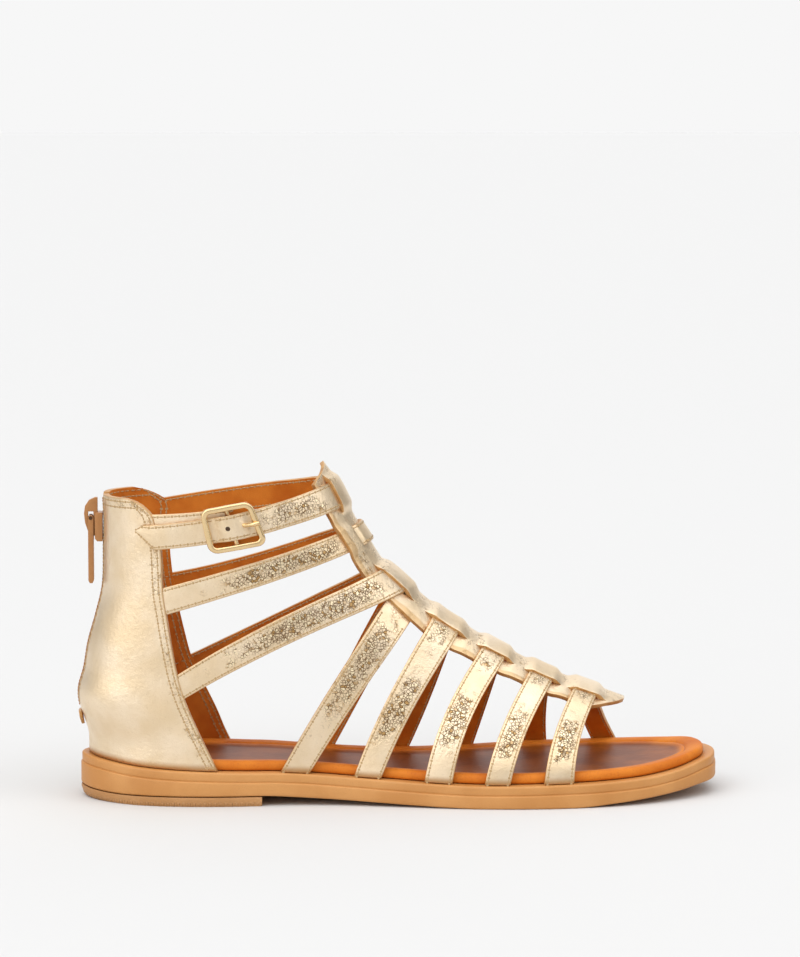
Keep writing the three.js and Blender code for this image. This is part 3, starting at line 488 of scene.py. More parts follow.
def lift_height(tree):
    spots = use(tree, mottle, Cloud=3.0, Grain=0.45)
    place = node(tree, "TexCoord").outputs["Object"]
    low = remap(tree, node(tree, "SeparateXYZ", {0: place}).outputs["Z"], 0.0017, 0.0011)
    tooth = node(tree, "TexWave", {"Vector": place, "Scale": 0.314 / (TOOTH_PITCH * MM)}, bands_direction="X")
    cut = maths(tree, "MULTIPLY", remap(tree, tooth.outputs["Fac"], 0.35, 0.6), low)
    return maths(tree, "ADD", maths(tree, "MULTIPLY", cut, 3.0), spots["Specks"])


lift_gum = finish("lift_gum", clouded(20.0, colour(174, 124, 72), colour(190, 140, 88), 0.35, 0.65), 0.55,
                  height=lift_height, relief=0.00014)
wear_in(heel_lift, lift_gum)
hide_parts("heel_lift")
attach(heel_lift, "shoe")

# Insole: a board covered in tan leather over a thin foam. Its rim is puffed up and stitched down
# inside, and the middle is pressed into a shallow polished dish.
INSOLE_HEIGHT = 3.4
DISH_DEPTH = 1.5
FLOOR_SHARE = 1 - DISH_DEPTH / INSOLE_HEIGHT

InsoleRing = namedtuple("InsoleRing", "inset share")
insole_side = [
    InsoleRing(0.5, 0), InsoleRing(0.15, 0.1), InsoleRing(0, 0.27), InsoleRing(0.03, 0.45),
    InsoleRing(0.18, 0.64), InsoleRing(0.5, 0.8), InsoleRing(1.0, 0.92), InsoleRing(1.7, 0.99),
    InsoleRing(2.4, 1.0), InsoleRing(3.2, 1.0), InsoleRing(4.2, 0.98), InsoleRing(5.2, 0.93),
    InsoleRing(5.8, 0.88), InsoleRing(6.2, 0.8), InsoleRing(6.45, 0.72), InsoleRing(6.7, 0.68),
    InsoleRing(6.95, 0.72), InsoleRing(7.3, 0.78), InsoleRing(7.9, 0.78), InsoleRing(8.8, 0.72),
    InsoleRing(9.8, 0.62), InsoleRing(10.8, FLOOR_SHARE),
]


def insole_ring(inset, share, size=1):
    return (lambda x: ledge_width(x) + inset,
            lambda x: ledge_top(x) + GAP + INSOLE_HEIGHT * share, size)


insole_rings = [insole_ring(0.5, 0, size) for size in (0, 0.6, 0.95)]
insole_rings += [insole_ring(ring.inset, ring.share) for ring in insole_side]
insole_rings += [insole_ring(10.8, FLOOR_SHARE, size) for size in (0.85, 0.6, 0.3, 0)]
INSOLE_AROUND = 304
insole = moulded("insole_leather", insole_rings, INSOLE_AROUND)
soften(insole, 60)


def mark(piece, name, measure):
    """Stores a distance in millimetres on every point of a piece, for its material."""
    stored = piece.data.attributes.new(name, "FLOAT", "POINT")
    for corner in piece.data.vertices:
        stored.data[corner.index].value = measure(corner.co / MM + ORIGIN)


insole_loop = [outline_inset(i / 152, ledge_width) for i in range(152)]


def from_edge(p):
    """Distance of a point from the insole's edge, as seen from above."""
    flat = Vector((p.x, p.y))
    return min((flat - q).length for q in insole_loop)


mark(insole, "rim", from_edge)


def stored_mark(tree, name):
    return node(tree, "Attribute", attribute_name=name).outputs["Fac"]


def insole_base(tree):
    spots = use(tree, mottle, Cloud=16.0, Grain=0.7)
    rim = stored_mark(tree, "rim")
    tan = blend(tree, remap(tree, spots["Clouds"], 0.3, 0.7), colour(194, 104, 26), colour(212, 126, 40))
    speck = maths(tree, "MULTIPLY", remap(tree, spots["Specks"], 0.5, 0.7), 0.3)
    tan = blend(tree, speck, tan, colour(168, 84, 36))
    # The dish is a deeper brown than the rim: partly the polished leather's own tone, partly painted shade in
    # the recess under the straps.
    dish_tone_and_shade = blend(tree, remap(tree, spots["Clouds"], 0.35, 0.7), colour(118, 58, 12), colour(144, 78, 24))
    return blend(tree, remap(tree, rim, 7.0, 10.5), tan, dish_tone_and_shade)


def insole_rough(tree):
    return remap(tree, stored_mark(tree, "rim"), 7.0, 10.5, 0.56, 0.42)


def insole_height(tree):
    spots = use(tree, mottle, Cloud=2.2, Grain=0.6)
    return maths(tree, "ADD", maths(tree, "MULTIPLY", spots["Specks"], 0.5), spots["Clouds"])


insole_leather = finish("insole_leather", insole_base, insole_rough, height=insole_height, relief=0.00009,
                        Specular_IOR_Level=0.16)
wear_in(insole, insole_leather)
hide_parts("insole")
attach(insole, "shoe")

# Stitching: one thread for each row, in locked stitches that sink into their needle holes. The
# insole's row holds its rim down.
STITCH_PITCH = 2.65
STITCH_LENGTH = 1.75
THREAD = 0.5
HOLE = 0.46


def stitch_template():
    """One stitch along X, raised in Z, with a flat disc at both of its ends, painted dark as the shade inside
    a needle hole.
    """
    bpy.ops.object.select_all(action="DESELECT")
    bpy.ops.mesh.primitive_uv_sphere_add(segments=8, ring_count=5, radius=0.5, rotation=(0, math.pi / 2, 0))
    thread = bpy.context.object
    bpy.ops.object.transform_apply(location=False, rotation=True, scale=False)
    size = Vector((STITCH_LENGTH, THREAD, THREAD * 0.9))
    corners = [p.co * size for p in thread.data.vertices]
    faces = [tuple(face.vertices) for face in thread.data.polygons]
    kinds = [0] * len(faces)
    bpy.data.objects.remove(thread)
    for side in (-1, 1):
        bpy.ops.mesh.primitive_circle_add(vertices=8, radius=HOLE, fill_type="NGON")
        hole = bpy.context.object
        first = len(corners)
        at = Vector((side * STITCH_PITCH / 2, 0, 0.035))
        corners += [p.co + at for p in hole.data.vertices]
        faces += [tuple(first + i for i in face.vertices) for face in hole.data.polygons]
        kinds.append(1)
        bpy.data.objects.remove(hole)
    return corners, faces, kinds


stitch_corners, stitch_faces, stitch_kinds = stitch_template()


def walk(line, pitch):
    """Places a pitch apart along a line of points and outward directions."""
    total = 0.0
    due = pitch / 2
    for (a, out_a), (b, out_b) in zip(line, line[1:]):
        length = (b - a).length
        while length > 0 and due <= total + length:
            t = (due - total) / length
            yield a.lerp(b, t), (b - a).normalized(), out_a.lerp(out_b, t).normalized()
            due += pitch
        total += length


def from_faces(name, corners, faces):
    mesh = bpy.data.meshes.new(name)
    mesh.from_pydata(corners, [], faces)
    piece = bpy.data.objects.new(name, mesh)
    bpy.context.scene.collection.objects.link(piece)
    return piece


def sew(name, lines, thread_material, pitch=STITCH_PITCH):
    corners, faces, kinds = [], [], []
    for line in lines:
        for place, ahead, outward in walk(line, pitch):
            aside = outward.cross(ahead).normalized()
            turn = Matrix((ahead, aside, outward)).transposed()
            first = len(corners)
            corners += [(place + turn @ p - ORIGIN) * MM for p in stitch_corners]
            faces += [tuple(first + i for i in face) for face in stitch_faces]
            kinds += stitch_kinds
    piece = from_faces(name, corners, faces)
    piece.data.polygons.foreach_set("material_index", kinds)
    piece.data.polygons.foreach_set("use_smooth", [kind == 0 for kind in kinds])
    wear_in(piece, thread_material, hole_shade)
    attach(piece, "shoe")
    return piece


def thread_height(tree):
    place = node(tree, "TexCoord").outputs["Object"]
    return node(tree, "TexWave", {"Vector": place, "Scale": 900.0, "Distortion": 1.0},
                bands_direction="DIAGONAL").outputs["Fac"]


tan_thread = finish("tan_thread", mottled(0.2, colour(150, 84, 40), colour(205, 132, 74)), 0.6,
                    height=thread_height, relief=0.00005)
# Painted shade: flat discs in this colour stand for the dark inside of needle holes and punched holes.
hole_shade = finish("hole_shade", mottled(0.2, colour(52, 34, 18), colour(78, 52, 28)), 0.8)
insole_line = [(ring_point(step / INSOLE_AROUND, *insole_ring(6.7, 0.69)), Vector((0, 0, 1)))
               for step in range(INSOLE_AROUND + 1)]
insole_sewing = sew("insole_stitching", [insole_line], tan_thread, pitch=3.0)

# Heel counter: two quarters of foil-faced leather over a tan lining, joined under the zip. It is
# lasted under the insole's edge and stitched in double rows along its free edges.
COUNTER_HEIGHT = 111.4
ANKLE_WIDTH = 60.0
WALL = 2.2
COUNTER_CENTRE = 0.247
COUNTER_FULLNESS = 2.7
FOOT_FLARE = 0.016
ZIP_WIDTH = 6.0
ZIP_FOOT = COUNTER_HEIGHT * 0.3

CounterRow = namedtuple("CounterRow", "up back lateral medial width")
COUNTER = [
    CounterRow(0.18, 0.005, 0.198, 0.225, 0.955),
    CounterRow(0.25, -0.002, 0.182, 0.211, 0.945),
    CounterRow(0.346, -0.003, 0.163, 0.189, 0.94),
    CounterRow(0.425, 0.006, 0.152, 0.172, 0.94),
    CounterRow(0.51, 0.013, 0.144, 0.161, 0.945),
    CounterRow(0.6, 0.025, 0.137, 0.151, 0.955),
    CounterRow(0.7, 0.036, 0.13, 0.142, 0.97),
    CounterRow(0.834, 0.038, 0.127, 0.137, 0.985),
    CounterRow(0.905, 0.039, 0.12, 0.137, 0.995),
    CounterRow(0.945, 0.0385, 0.114, 0.136, 1),
    CounterRow(0.97, 0.038, 0.103, 0.12, 1),
    CounterRow(0.99, 0.0375, 0.088, 0.098, 1),
    CounterRow(1, 0.0375, 0.072, 0.08, 1),
]
counter_centre = SOLE_LENGTH * COUNTER_CENTRE
counter_foot = COUNTER_HEIGHT * COUNTER[0].up
hug_top = COUNTER_HEIGHT * 0.34


def counter(name, z):
    return read(COUNTER, name, z / COUNTER_HEIGHT)


def oval_reach(angle, z):
    depth = counter_centre - SOLE_LENGTH * counter("back", z)
    half = ANKLE_WIDTH / 2 * counter("width", z)
    ahead = abs(math.cos(angle)) / depth
    aside = abs(math.sin(angle)) / half
    return (ahead**COUNTER_FULLNESS + aside**COUNTER_FULLNESS) ** (-1 / COUNTER_FULLNESS)


counter_base = [outline_inset(i / 304, lambda x: ledge_width(x) - 2 * GAP - WALL) for i in range(304)]
base_polar = sorted(
    (math.atan2(p.y, counter_centre - p.x), math.hypot(p.y, counter_centre - p.x))
    for p in counter_base if p.x < counter_centre + 8)


def base_reach(angle):
    """How far the foot of the counter lies from the ankle's middle, hugging the insole."""
    low = 0
    high = len(base_polar) - 1
    while high - low > 1:
        half = (low + high) // 2
        if base_polar[half][0] < angle:
            low = half
        else:
            high = half
    (a, near), (b, far) = base_polar[low], base_polar[high]
    return mix(near, far, min(max((angle - a) / (b - a), 0), 1))


def counter_point(angle, z):
    hug = 1 - smooth(z, counter_foot, hug_top)
    reach = oval_reach(angle, max(z, counter_foot))
    if hug > 0:
        reach = mix(reach, base_reach(angle), hug)
    return Vector((counter_centre - reach * math.cos(angle), reach * math.sin(angle), z))


def counter_angle(x, z):
    return solve(0.0, math.pi / 2, lambda angle: counter_point(angle, z).x < x)


def front_edge(front, z):
    """Place of the counter's outer or inner front edge at a level, flared at the foot."""
    flare = min(max((counter_foot - z) / (counter_foot - ledge_top(SOLE_LENGTH * 0.2)), 0), 1)
    return SOLE_LENGTH * (counter(front, max(z, counter_foot)) + FOOT_FLARE * flare)


def counter_spread(z):
    """Angles of the counter's outer and inner front edges at a level."""
    level = max(z, counter_foot)
    return -counter_angle(front_edge("lateral", z), level), counter_angle(front_edge("medial", z), level)


COUNTER_ROWS = 84
lowest = ledge_top(SOLE_LENGTH * 0.19) + GAP
counter_levels = [mix(lowest, COUNTER_HEIGHT, i / COUNTER_ROWS) for i in range(COUNTER_ROWS + 1)]
counter_spreads = [counter_spread(z) for z in counter_levels]


def counter_outward(angle, z):
    ahead = counter_point(angle + 0.01, z) - counter_point(angle - 0.01, z)
    up = counter_point(angle, z + 0.5) - counter_point(angle, z - 0.5)
    return up.cross(ahead).normalized()


def counter_surface(u, v):
    i = round(u * COUNTER_ROWS)
    z = counter_levels[i]
    outer, inner = counter_spreads[i]
    angle = mix(outer, inner, v)
    p = counter_point(angle, z)
    rise = (ledge_top(p.x) + GAP - lowest) * (1 - smooth(z, lowest, counter_foot + 6))
    return Vector((p.x, p.y, z + rise))


counter_shell = drape("counter_leather", COUNTER_ROWS, 120, counter_surface)


def wall_up(piece, thickness, rim_round, *materials):
    """Gives a draped sheet its thickness inwards, a lining inside, a painted edge and a soft arris."""
    wear_in(piece, *materials)
    solidify = piece.modifiers.new("wall", "SOLIDIFY")
    solidify.thickness = thickness * MM
    solidify.offset = -1
    solidify.use_even_offset = True
    solidify.material_offset = 1
    solidify.material_offset_rim = 2
    apply_all(piece)
    bevel = piece.modifiers.new("arris", "BEVEL")
    bevel.width = rim_round * MM
    bevel.segments = 2
    bevel.limit_method = "ANGLE"
    bevel.angle_limit = math.radians(50)
    apply_all(piece)


# Crackle: where the leather has been bent, the foil breaks into small chips with dark lines between them.
# Some chips are painted darker as painted shade and some paler as painted glints, as though each caught the
# light its own way. Strength runs from 0, smooth, to 1, broken all over.
CHIP = 1.05
crackle, crackle_in, crackle_out = group("crackle", {"Strength": 0.0}, ("Lines", "Shaded", "Bright"))
crackle_place = node(crackle, "TexCoord").outputs["Object"]
wobble = node(crackle, "TexNoise", {"Vector": crackle_place, "Scale": 900.0, "Detail": 2.0})
wobble_step = node(
    crackle, "VectorMath", {0: wobble.outputs["Color"], 1: (0.0009, 0.0009, 0.0009)}, operation="MULTIPLY")
wobbled = node(
    crackle, "VectorMath", {0: crackle_place, 1: wobble_step.outputs[0]}, operation="ADD").outputs[0]
chip_grid = {"Vector": wobbled, "Scale": 1000.0 / CHIP}
cells = node(crackle, "TexVoronoi", chip_grid, feature="DISTANCE_TO_EDGE")
chips = node(crackle, "TexVoronoi", chip_grid)
chip = node(crackle, "SeparateXYZ", {0: chips.outputs["Color"]}).outputs["X"]
patches = node(
    crackle, "TexNoise", {"Vector": crackle_place, "Scale": 260.0, "Detail": 3.0, "Roughness": 0.7})
strain = maths(crackle, "SUBTRACT", crackle_in.outputs["Strength"], 0.5)
bent = maths(crackle, "ADD", patches.outputs["Fac"], maths(crackle, "MULTIPLY", strain, 0.58))
bent = remap(crackle, bent, 0.42, 0.8)
# Shaded and Glinting chips are painted shade and painted glints; the Lines are the cracks themselves.
for output, value in (
        ("Lines", remap(crackle, cells.outputs["Distance"], 0.15, 0.03)),
        ("Shaded", remap(crackle, chip, 0.78, 0.9)),
        ("Bright", remap(crackle, chip, 0.34, 0.2))):
    crackle.links.new(maths(crackle, "MULTIPLY", value, bent), crackle_out.inputs[output])


def foil_base(tree):
    spots = use(tree, mottle, Cloud=14.0, Grain=0.5)
    broken = use(tree, crackle, Strength=stored_mark(tree, "bend"))
    gold = blend(tree, remap(tree, spots["Clouds"], 0.3, 0.7), colour(230, 206, 170), colour(241, 221, 192))
    speck = maths(tree, "MULTIPLY", remap(tree, spots["Specks"], 0.56, 0.74), 0.3)
    gold = blend(tree, speck, gold, colour(206, 180, 138))
    # Painted shade on some chips, then painted glints on others.
    gold = blend(tree, broken["Shaded"], gold, colour(184, 146, 94))
    gold = blend(tree, broken["Bright"], gold, colour(252, 232, 194))
    gold = blend(tree, maths(tree, "MULTIPLY", broken["Lines"], 0.9), gold, colour(98, 68, 30))
    # The foil turns a darker brownish gold within 0.75 mm of each edge.
    edge_darkening = remap(tree, stored_mark(tree, "edge"), 0.75, 0.1)
    gold = blend(tree, maths(tree, "MULTIPLY", edge_darkening, 0.6), gold, colour(196, 156, 100))
    # Painted shade: the foil darkens to amber brown over its last 3 mm above the sole, where it bends in
    # under the insole's edge.
    foot_shade = remap(tree, stored_mark(tree, "foot"), 3.0, 0.4)
    return blend(tree, maths(tree, "MULTIPLY", foot_shade, 0.8), gold, colour(176, 122, 56))


def foil_rough(tree):
    spots = use(tree, mottle, Cloud=9.0, Grain=0.4)
    broken = use(tree, crackle, Strength=stored_mark(tree, "bend"))
    even = remap(tree, spots["Clouds"], 0.3, 0.7, 0.3, 0.42)
    return maths(tree, "SUBTRACT", even, maths(tree, "MULTIPLY", broken["Bright"], 0.12))


def foil_metal(tree):
    broken = use(tree, crackle, Strength=stored_mark(tree, "bend"))
    return maths(tree, "SUBTRACT", 0.9, maths(tree, "MULTIPLY", broken["Lines"], 0.5))


def foil_height(tree):
    spots = use(tree, mottle, Cloud=1.5, Grain=0.4)
    broken = use(tree, crackle, Strength=stored_mark(tree, "bend"))
    grain = maths(tree, "ADD", spots["Clouds"], maths(tree, "MULTIPLY", spots["Specks"], 0.6))
    chips = maths(tree, "SUBTRACT", maths(tree, "MULTIPLY", broken["Shaded"], 0.5), broken["Lines"])
    return maths(tree, "ADD", grain, maths(tree, "MULTIPLY", chips, 1.3))


gold_foil = finish("gold_foil_leather", foil_base, foil_rough, foil_metal, height=foil_height, relief=0.00014)


tan_lining = finish("tan_lining", clouded(12.0, colour(184, 97, 24), colour(207, 122, 40)), 0.6,
                    height=grained(0.4), relief=0.0001, Specular_IOR_Level=0.15)
painted_edge = finish("painted_edge", clouded(5.0, colour(178, 124, 66), colour(206, 162, 104)), 0.45, 0.25,
                      height=grained(0.4), relief=0.00008)
wall_up(counter_shell, WALL, 0.5, gold_foil, tan_lining, painted_edge)


def cut_zip_slot(piece):
    middle = Vector((-ORIGIN.x, 0, ZIP_FOOT - GAP + COUNTER_HEIGHT / 2))
    bpy.ops.object.select_all(action="DESELECT")
    bpy.ops.mesh.primitive_cube_add(size=1, location=middle * MM)
    cutter = bpy.context.object
    cutter.scale = (30 * MM, (ZIP_WIDTH + 2 * GAP) * MM, COUNTER_HEIGHT * MM)
    bpy.ops.object.transform_apply(location=True, rotation=False, scale=True)
    cutter.data.materials.append(painted_edge)
    slot = piece.modifiers.new("slot", "BOOLEAN")
    slot.object = cutter
    slot.operation = "DIFFERENCE"
    slot.solver = "EXACT"
    apply_all(piece)
    bpy.data.objects.remove(cutter)


cut_zip_slot(counter_shell)


FAR = 99.0


def counter_edge(p):
    """Distance of a point of the counter from its nearest free edge."""
    front = front_edge("lateral" if p.y < 0 else "medial", min(p.z, COUNTER_HEIGHT))
    slot = FAR
    if p.x < counter_centre / 2 and p.z > ZIP_FOOT:
        slot = max(abs(p.y) - ZIP_WIDTH / 2 - GAP, 0)
    return min(abs(front - p.x), COUNTER_HEIGHT - p.z, slot)


mark(counter_shell, "edge", counter_edge)
mark(counter_shell, "foot", lambda p: p.z - ledge_top(p.x) - GAP)
mark(counter_shell, "bend", lambda p: 0.42 * (1 - smooth(counter_edge(p), 2, 8)) + 0.08)
soften(counter_shell, 40)
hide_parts("upper")
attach(counter_shell, "shoe")

ROW_INSETS = (1.3, 3.4)


def zip_angle(away, z):
    """Angle of a point at a distance from the middle of the back."""
    return math.asin(away / (counter_centre - SOLE_LENGTH * counter("back", z)))


def counter_seam(side, front, inset, inside=False):
    """A row beside the free edges of one side: up its front, over the top and down beside the zip."""
    line = []

    def add(angle, z):
        outward = counter_outward(side * angle, z)
        p = counter_point(side * angle, z)
        line.append((p - outward * WALL, -outward) if inside else (p, outward))

    top = COUNTER_HEIGHT - inset
    for i in range(91):
        z = mix(counter_foot - 6, top, i / 90)
        add(counter_angle(front_edge(front, z) - inset, max(z, counter_foot)), z)
    beside_zip = math.asin((ZIP_WIDTH / 2 + inset) / counter_centre)
    last = counter_angle(SOLE_LENGTH * counter(front, top) - inset, top)
    for i in range(1, 41):
        add(mix(last, beside_zip, i / 40), top)
    for i in range(1, 41):
        z = mix(top, ZIP_FOOT + 2, i / 40)
        add(zip_angle(ZIP_WIDTH / 2 + inset, z), z)
    return line


gold_thread = finish("gold_thread", mottled(0.2, colour(156, 122, 78), colour(204, 172, 124)), 0.5,
                     height=thread_height, relief=0.00005)
seams = [counter_seam(side, front, inset, inside) for inside in (False, True)
         for side, front in ((-1, "lateral"), (1, "medial")) for inset in ROW_INSETS]
counter_sewing = sew("counter_stitching", seams, gold_thread)

# Spine: a leaf-shaped piece over the instep. Pairs of slits part it into two edge strips and a
# bridge, and the straps weave through them.
UPPER_HEIGHT = 121.5
LEATHER = 1.6
RIDGE_RADIUS = 15.0
SPINE_WIDTH = 29.6
BRIDGE_WIDTH = 19.4
WEAVE_RISE = 1.5
SLIT_EASE = 1.5
FOOT_EASE = 0.85
STRAP_SHARE = 0.6
TOP_POINT = 0.0195
TOP_SKEW = 0.0045
TOE_POINT = 0.055

RidgeRow = namedtuple("RidgeRow", "at up")
RIDGE = [
    RidgeRow(0.376, 1), RidgeRow(0.399, 0.933), RidgeRow(0.424, 0.835), RidgeRow(0.448, 0.762),
    RidgeRow(0.468, 0.703), RidgeRow(0.493, 0.661), RidgeRow(0.528, 0.598), RidgeRow(0.566, 0.537),
    RidgeRow(0.604, 0.492), RidgeRow(0.638, 0.453), RidgeRow(0.681, 0.409), RidgeRow(0.726, 0.365),
    RidgeRow(0.762, 0.337), RidgeRow(0.804, 0.307), RidgeRow(0.853, 0.272),
]

# A strap has two edges. Ends with a level lie on the counter, and the others stand on the sole.
EdgeRow = namedtuple("EdgeRow", "ridge lateral lateral_up medial medial_up lateral_bow medial_bow")
STRAPS = {
    "top": [
        EdgeRow(0.393, 0.097, 0.8385, 0.119, 0.876, -1.9, 0),
        EdgeRow(0.413, 0.097, 0.7645, 0.119, 0.796, -1.9, 0),
    ],
    "base": [
        EdgeRow(0.393, 0.115, 0.872, 0.119, 0.876, -1.7, 0),
        EdgeRow(0.413, 0.115, 0.792, 0.119, 0.796, -1.9, 0),
    ],
    "second": [
        EdgeRow(0.429, 0.115, 0.644, 0.123, 0.642, 0, -3),
        EdgeRow(0.448, 0.119, 0.562, 0.128, 0.558, 0, -3),
    ],
    "third": [
        EdgeRow(0.477, 0.134, 0.369, 0.145, 0.37, 3.5, -1),
        EdgeRow(0.515, 0.145, 0.299, 0.157, 0.296, 3.5, -1),
    ],
    "fourth": [
        EdgeRow(0.496, 0.31, None, 0.35, None, 1.5, 0),
        EdgeRow(0.535, 0.355, None, 0.395, None, 1.5, 0),
    ],
    "fifth": [
        EdgeRow(0.553, 0.424, None, 0.476, None, 2.5, -1.5),
        EdgeRow(0.594, 0.4655, None, 0.516, None, 2.5, -1.5),
    ],
    "sixth": [
        EdgeRow(0.632, 0.531, None, 0.582, None, 4, -1),
        EdgeRow(0.668, 0.5735, None, 0.623, None, 4, -1),
    ],
    "seventh": [
        EdgeRow(0.706, 0.622, None, 0.7085, None, 3, 0.5),
        EdgeRow(0.7425, 0.6615, None, 0.749, None, 3, 0.5),
    ],
    "eighth": [
        EdgeRow(0.7745, 0.7125, None, 0.825, None, 3, 1),
        EdgeRow(0.8105, 0.759, None, 0.865, None, 3, 1),
    ],
}
UNDER_BRIDGE = ("top", "third", "fifth", "sixth", "seventh", "eighth")
OVER_BRIDGE = ("second",)
FAN = [row for name, rows in STRAPS.items() if name in UNDER_BRIDGE + OVER_BRIDGE for row in rows]
Reach = namedtuple("Reach", "start end bow widest width")


def insole_half(x, side):
    """Distance of the insole's outer or inner edge from the middle line."""
    loop = sorted((p.x, abs(p.y)) for p in insole_loop if p.y * side >= 0)
    for (a, near), (b, far) in zip(loop, loop[1:]):
        if a <= x <= b:
            return mix(near, far, (x - a) / (b - a))
    return loop[-1][1]


def ridge_point(at):
    return Vector((SOLE_LENGTH * at, UPPER_HEIGHT * read(RIDGE, "up", at)))


reaches = {}


def reach_of(row, side):
    """Where an edge of a strap starts on the ridge and ends on one side, and how wide it reaches."""
    key = (row, side)
    if key in reaches:
        return reaches[key]
    start = ridge_point(row.ridge)
    share, up, bow = ((row.lateral, row.lateral_up, row.lateral_bow) if side < 0
                      else (row.medial, row.medial_up, row.medial_bow))
    x = SOLE_LENGTH * share
    if up is None:
        end = Vector((x, ledge_top(x) + GAP))
        found = Reach(start, end, bow, 1.0, insole_half(x, side) + GAP + FOOT_EASE)
    else:
        end = Vector((x, UPPER_HEIGHT * up))
        found = Reach(start, end, bow, (start.x - counter_centre) / (start.x - end.x), ANKLE_WIDTH / 2 - WALL)
    reaches[key] = found
    return found


def counter_side(x, z):
    return abs(counter_point(counter_angle(x, z), z).y) - WALL


def swell(k, down):
    """Square of a section's width, as a share of its widest: round at the ridge, upright below."""
    return k * down + (3 - 2 * k) * down**2 + (k - 2) * down**3


def edge_point(reach, side, place):
    """Point of a strap's edge: the place runs from 0 at the ridge over 1 at the widest spot."""
    down = place**2 if place < 1 else 2 * place - 1
    chord = reach.end - reach.start
    t = down * reach.widest
    bow = 4 * reach.bow * t * (1 - t) / chord.length
    x = reach.start.x + chord.x * t + chord.y * bow
    z = reach.start.y + chord.y * t - chord.x * bow
    if down > 1 and reach.widest < 1:
        ease = (1 - t) / (1 - reach.widest)
        at_widest = counter_side(counter_centre - 1e-3, z)
        return Vector((x, side * (counter_side(x, z) + (reach.width - at_widest) * ease**2), z))
    k = 2 * RIDGE_RADIUS * chord.length * reach.widest / reach.width**2
    return Vector((x, side * reach.width * math.sqrt(max(swell(k, min(down, 1)), 0)), z))


def spine_base(at, y):
    side = -1 if y < 0 else 1
    above = 0
    while above < len(FAN) - 2 and FAN[above + 1].ridge <= at:
        above += 1
    a = reach_of(FAN[above], side)
    b = reach_of(FAN[above + 1], side)
    t = min(max((at - FAN[above].ridge) / (FAN[above + 1].ridge - FAN[above].ridge), 0), 1)
    start = ridge_point(at)
    drop = ((a.end - a.start) * a.widest).lerp((b.end - b.start) * b.widest, t)
    width = mix(a.width, b.width, t)
    k = 2 * RIDGE_RADIUS * drop.length / width**2
    down = solve(0.0, 1.0, lambda d: swell(k, d) < (y / width) ** 2)
    return Vector((start.x + drop.x * down, y, start.y + drop.y * down))


def spine_outward(at, y):
    along = spine_base(at + 1.5e-3, y) - spine_base(at - 1.5e-3, y)
    across = spine_base(at, y + 0.3) - spine_base(at, y - 0.3)
    return along.cross(across).normalized()


def crossing(at, names):
    """1 where one of the straps crosses the spine, and 0 between the crossings."""
    most = 0.0
    here = ridge_point(at)
    for name in names:
        a, b = (ridge_point(row.ridge) for row in STRAPS[name])
        reach = (a - b).length / 2
        away = (here - a.lerp(b, 0.5)).length
        most = max(most, 1 - smooth(away, reach * 0.9, reach * 1.7))
    return most


def spine_place(t, y):
    side = abs(y) / (SPINE_WIDTH / 2)
    at = mix(RIDGE[0].at, RIDGE[-1].at, 0.6 * t + 0.4 * t**2)
    drop = TOP_POINT + math.copysign(TOP_SKEW, y)
    return at + drop * side**1.5 * (1 - t) ** 6 - TOE_POINT * side**2 * t**8


SPINE_ROWS = 150
HAIR = 0.05
slit = BRIDGE_WIDTH / 2
half_spine = SPINE_WIDTH / 2
spine_columns = [half_spine, half_spine - 0.9, half_spine - 2.5, slit + 0.9]
spine_columns += [slit + HAIR, slit - HAIR, slit - 0.9, 6.3, 3.2]
spine_columns = [-y for y in spine_columns] + [0] + spine_columns[::-1]


def spine_surface(u, v):
    y = spine_columns[round(v * (len(spine_columns) - 1))]
    at = spine_place(u, y)
    weave = crossing(at, UNDER_BRIDGE)
    if abs(y) > slit:
        weave = STRAP_SHARE * crossing(at, OVER_BRIDGE) - (1 - STRAP_SHARE) * weave
    return spine_base(at, y) + spine_outward(at, y) * (LEATHER + WEAVE_RISE * weave)


spine = drape("spine_leather", SPINE_ROWS, len(spine_columns) - 1, spine_surface)


def open_slits(piece):
    """Takes out the hair-thin faces along both slits wherever a strap passes."""
    pick(piece)
    places = piece.data.uv_layers[0].data
    last = len(spine_columns) - 1
    for corner in piece.data.vertices:
        corner.select = False
    for edge in piece.data.edges:
        edge.select = False
    for face in piece.data.polygons:
        shares = [places[i].uv for i in face.loop_indices]
        ys = sorted(abs(spine_columns[round(share.y * last)]) for share in shares)
        along = sum(share.x for share in shares) / len(shares)
        crossed = crossing(spine_place(along, slit), UNDER_BRIDGE + OVER_BRIDGE) > 0.03
        face.select = crossed and ys[0] > slit - 2 * HAIR and ys[-1] < slit + 2 * HAIR
    bpy.ops.object.mode_set(mode="EDIT")
    bpy.ops.mesh.select_mode(type="FACE")
    bpy.ops.mesh.delete(type="ONLY_FACE")
    bpy.ops.mesh.select_mode(type="VERT")
    bpy.ops.object.mode_set(mode="OBJECT")


open_slits(spine)
wall_up(spine, LEATHER, 0.3, gold_foil, tan_lining, painted_edge)


def on_a_bump(p):
    """1 where the spine rises over a strap, judged by the distance from the straps' places."""
    pairs = [STRAPS[name] for name in UNDER_BRIDGE]
    middles = [(ridge_point(a.ridge) + ridge_point(b.ridge)) / 2 for a, b in pairs]
    near = min((Vector((p.x, p.z + abs(p.y) * 0.35)) - middle).length for middle in middles)
    return 1 - smooth(near, 4, 8)


mark(spine, "edge", lambda p: half_spine - abs(p.y))
mark(spine, "foot", lambda p: FAR)
mark(spine, "bend", lambda p: 0.5 * (1 - on_a_bump(p)))
soften(spine, 40)
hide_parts("upper")
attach(spine, "shoe")

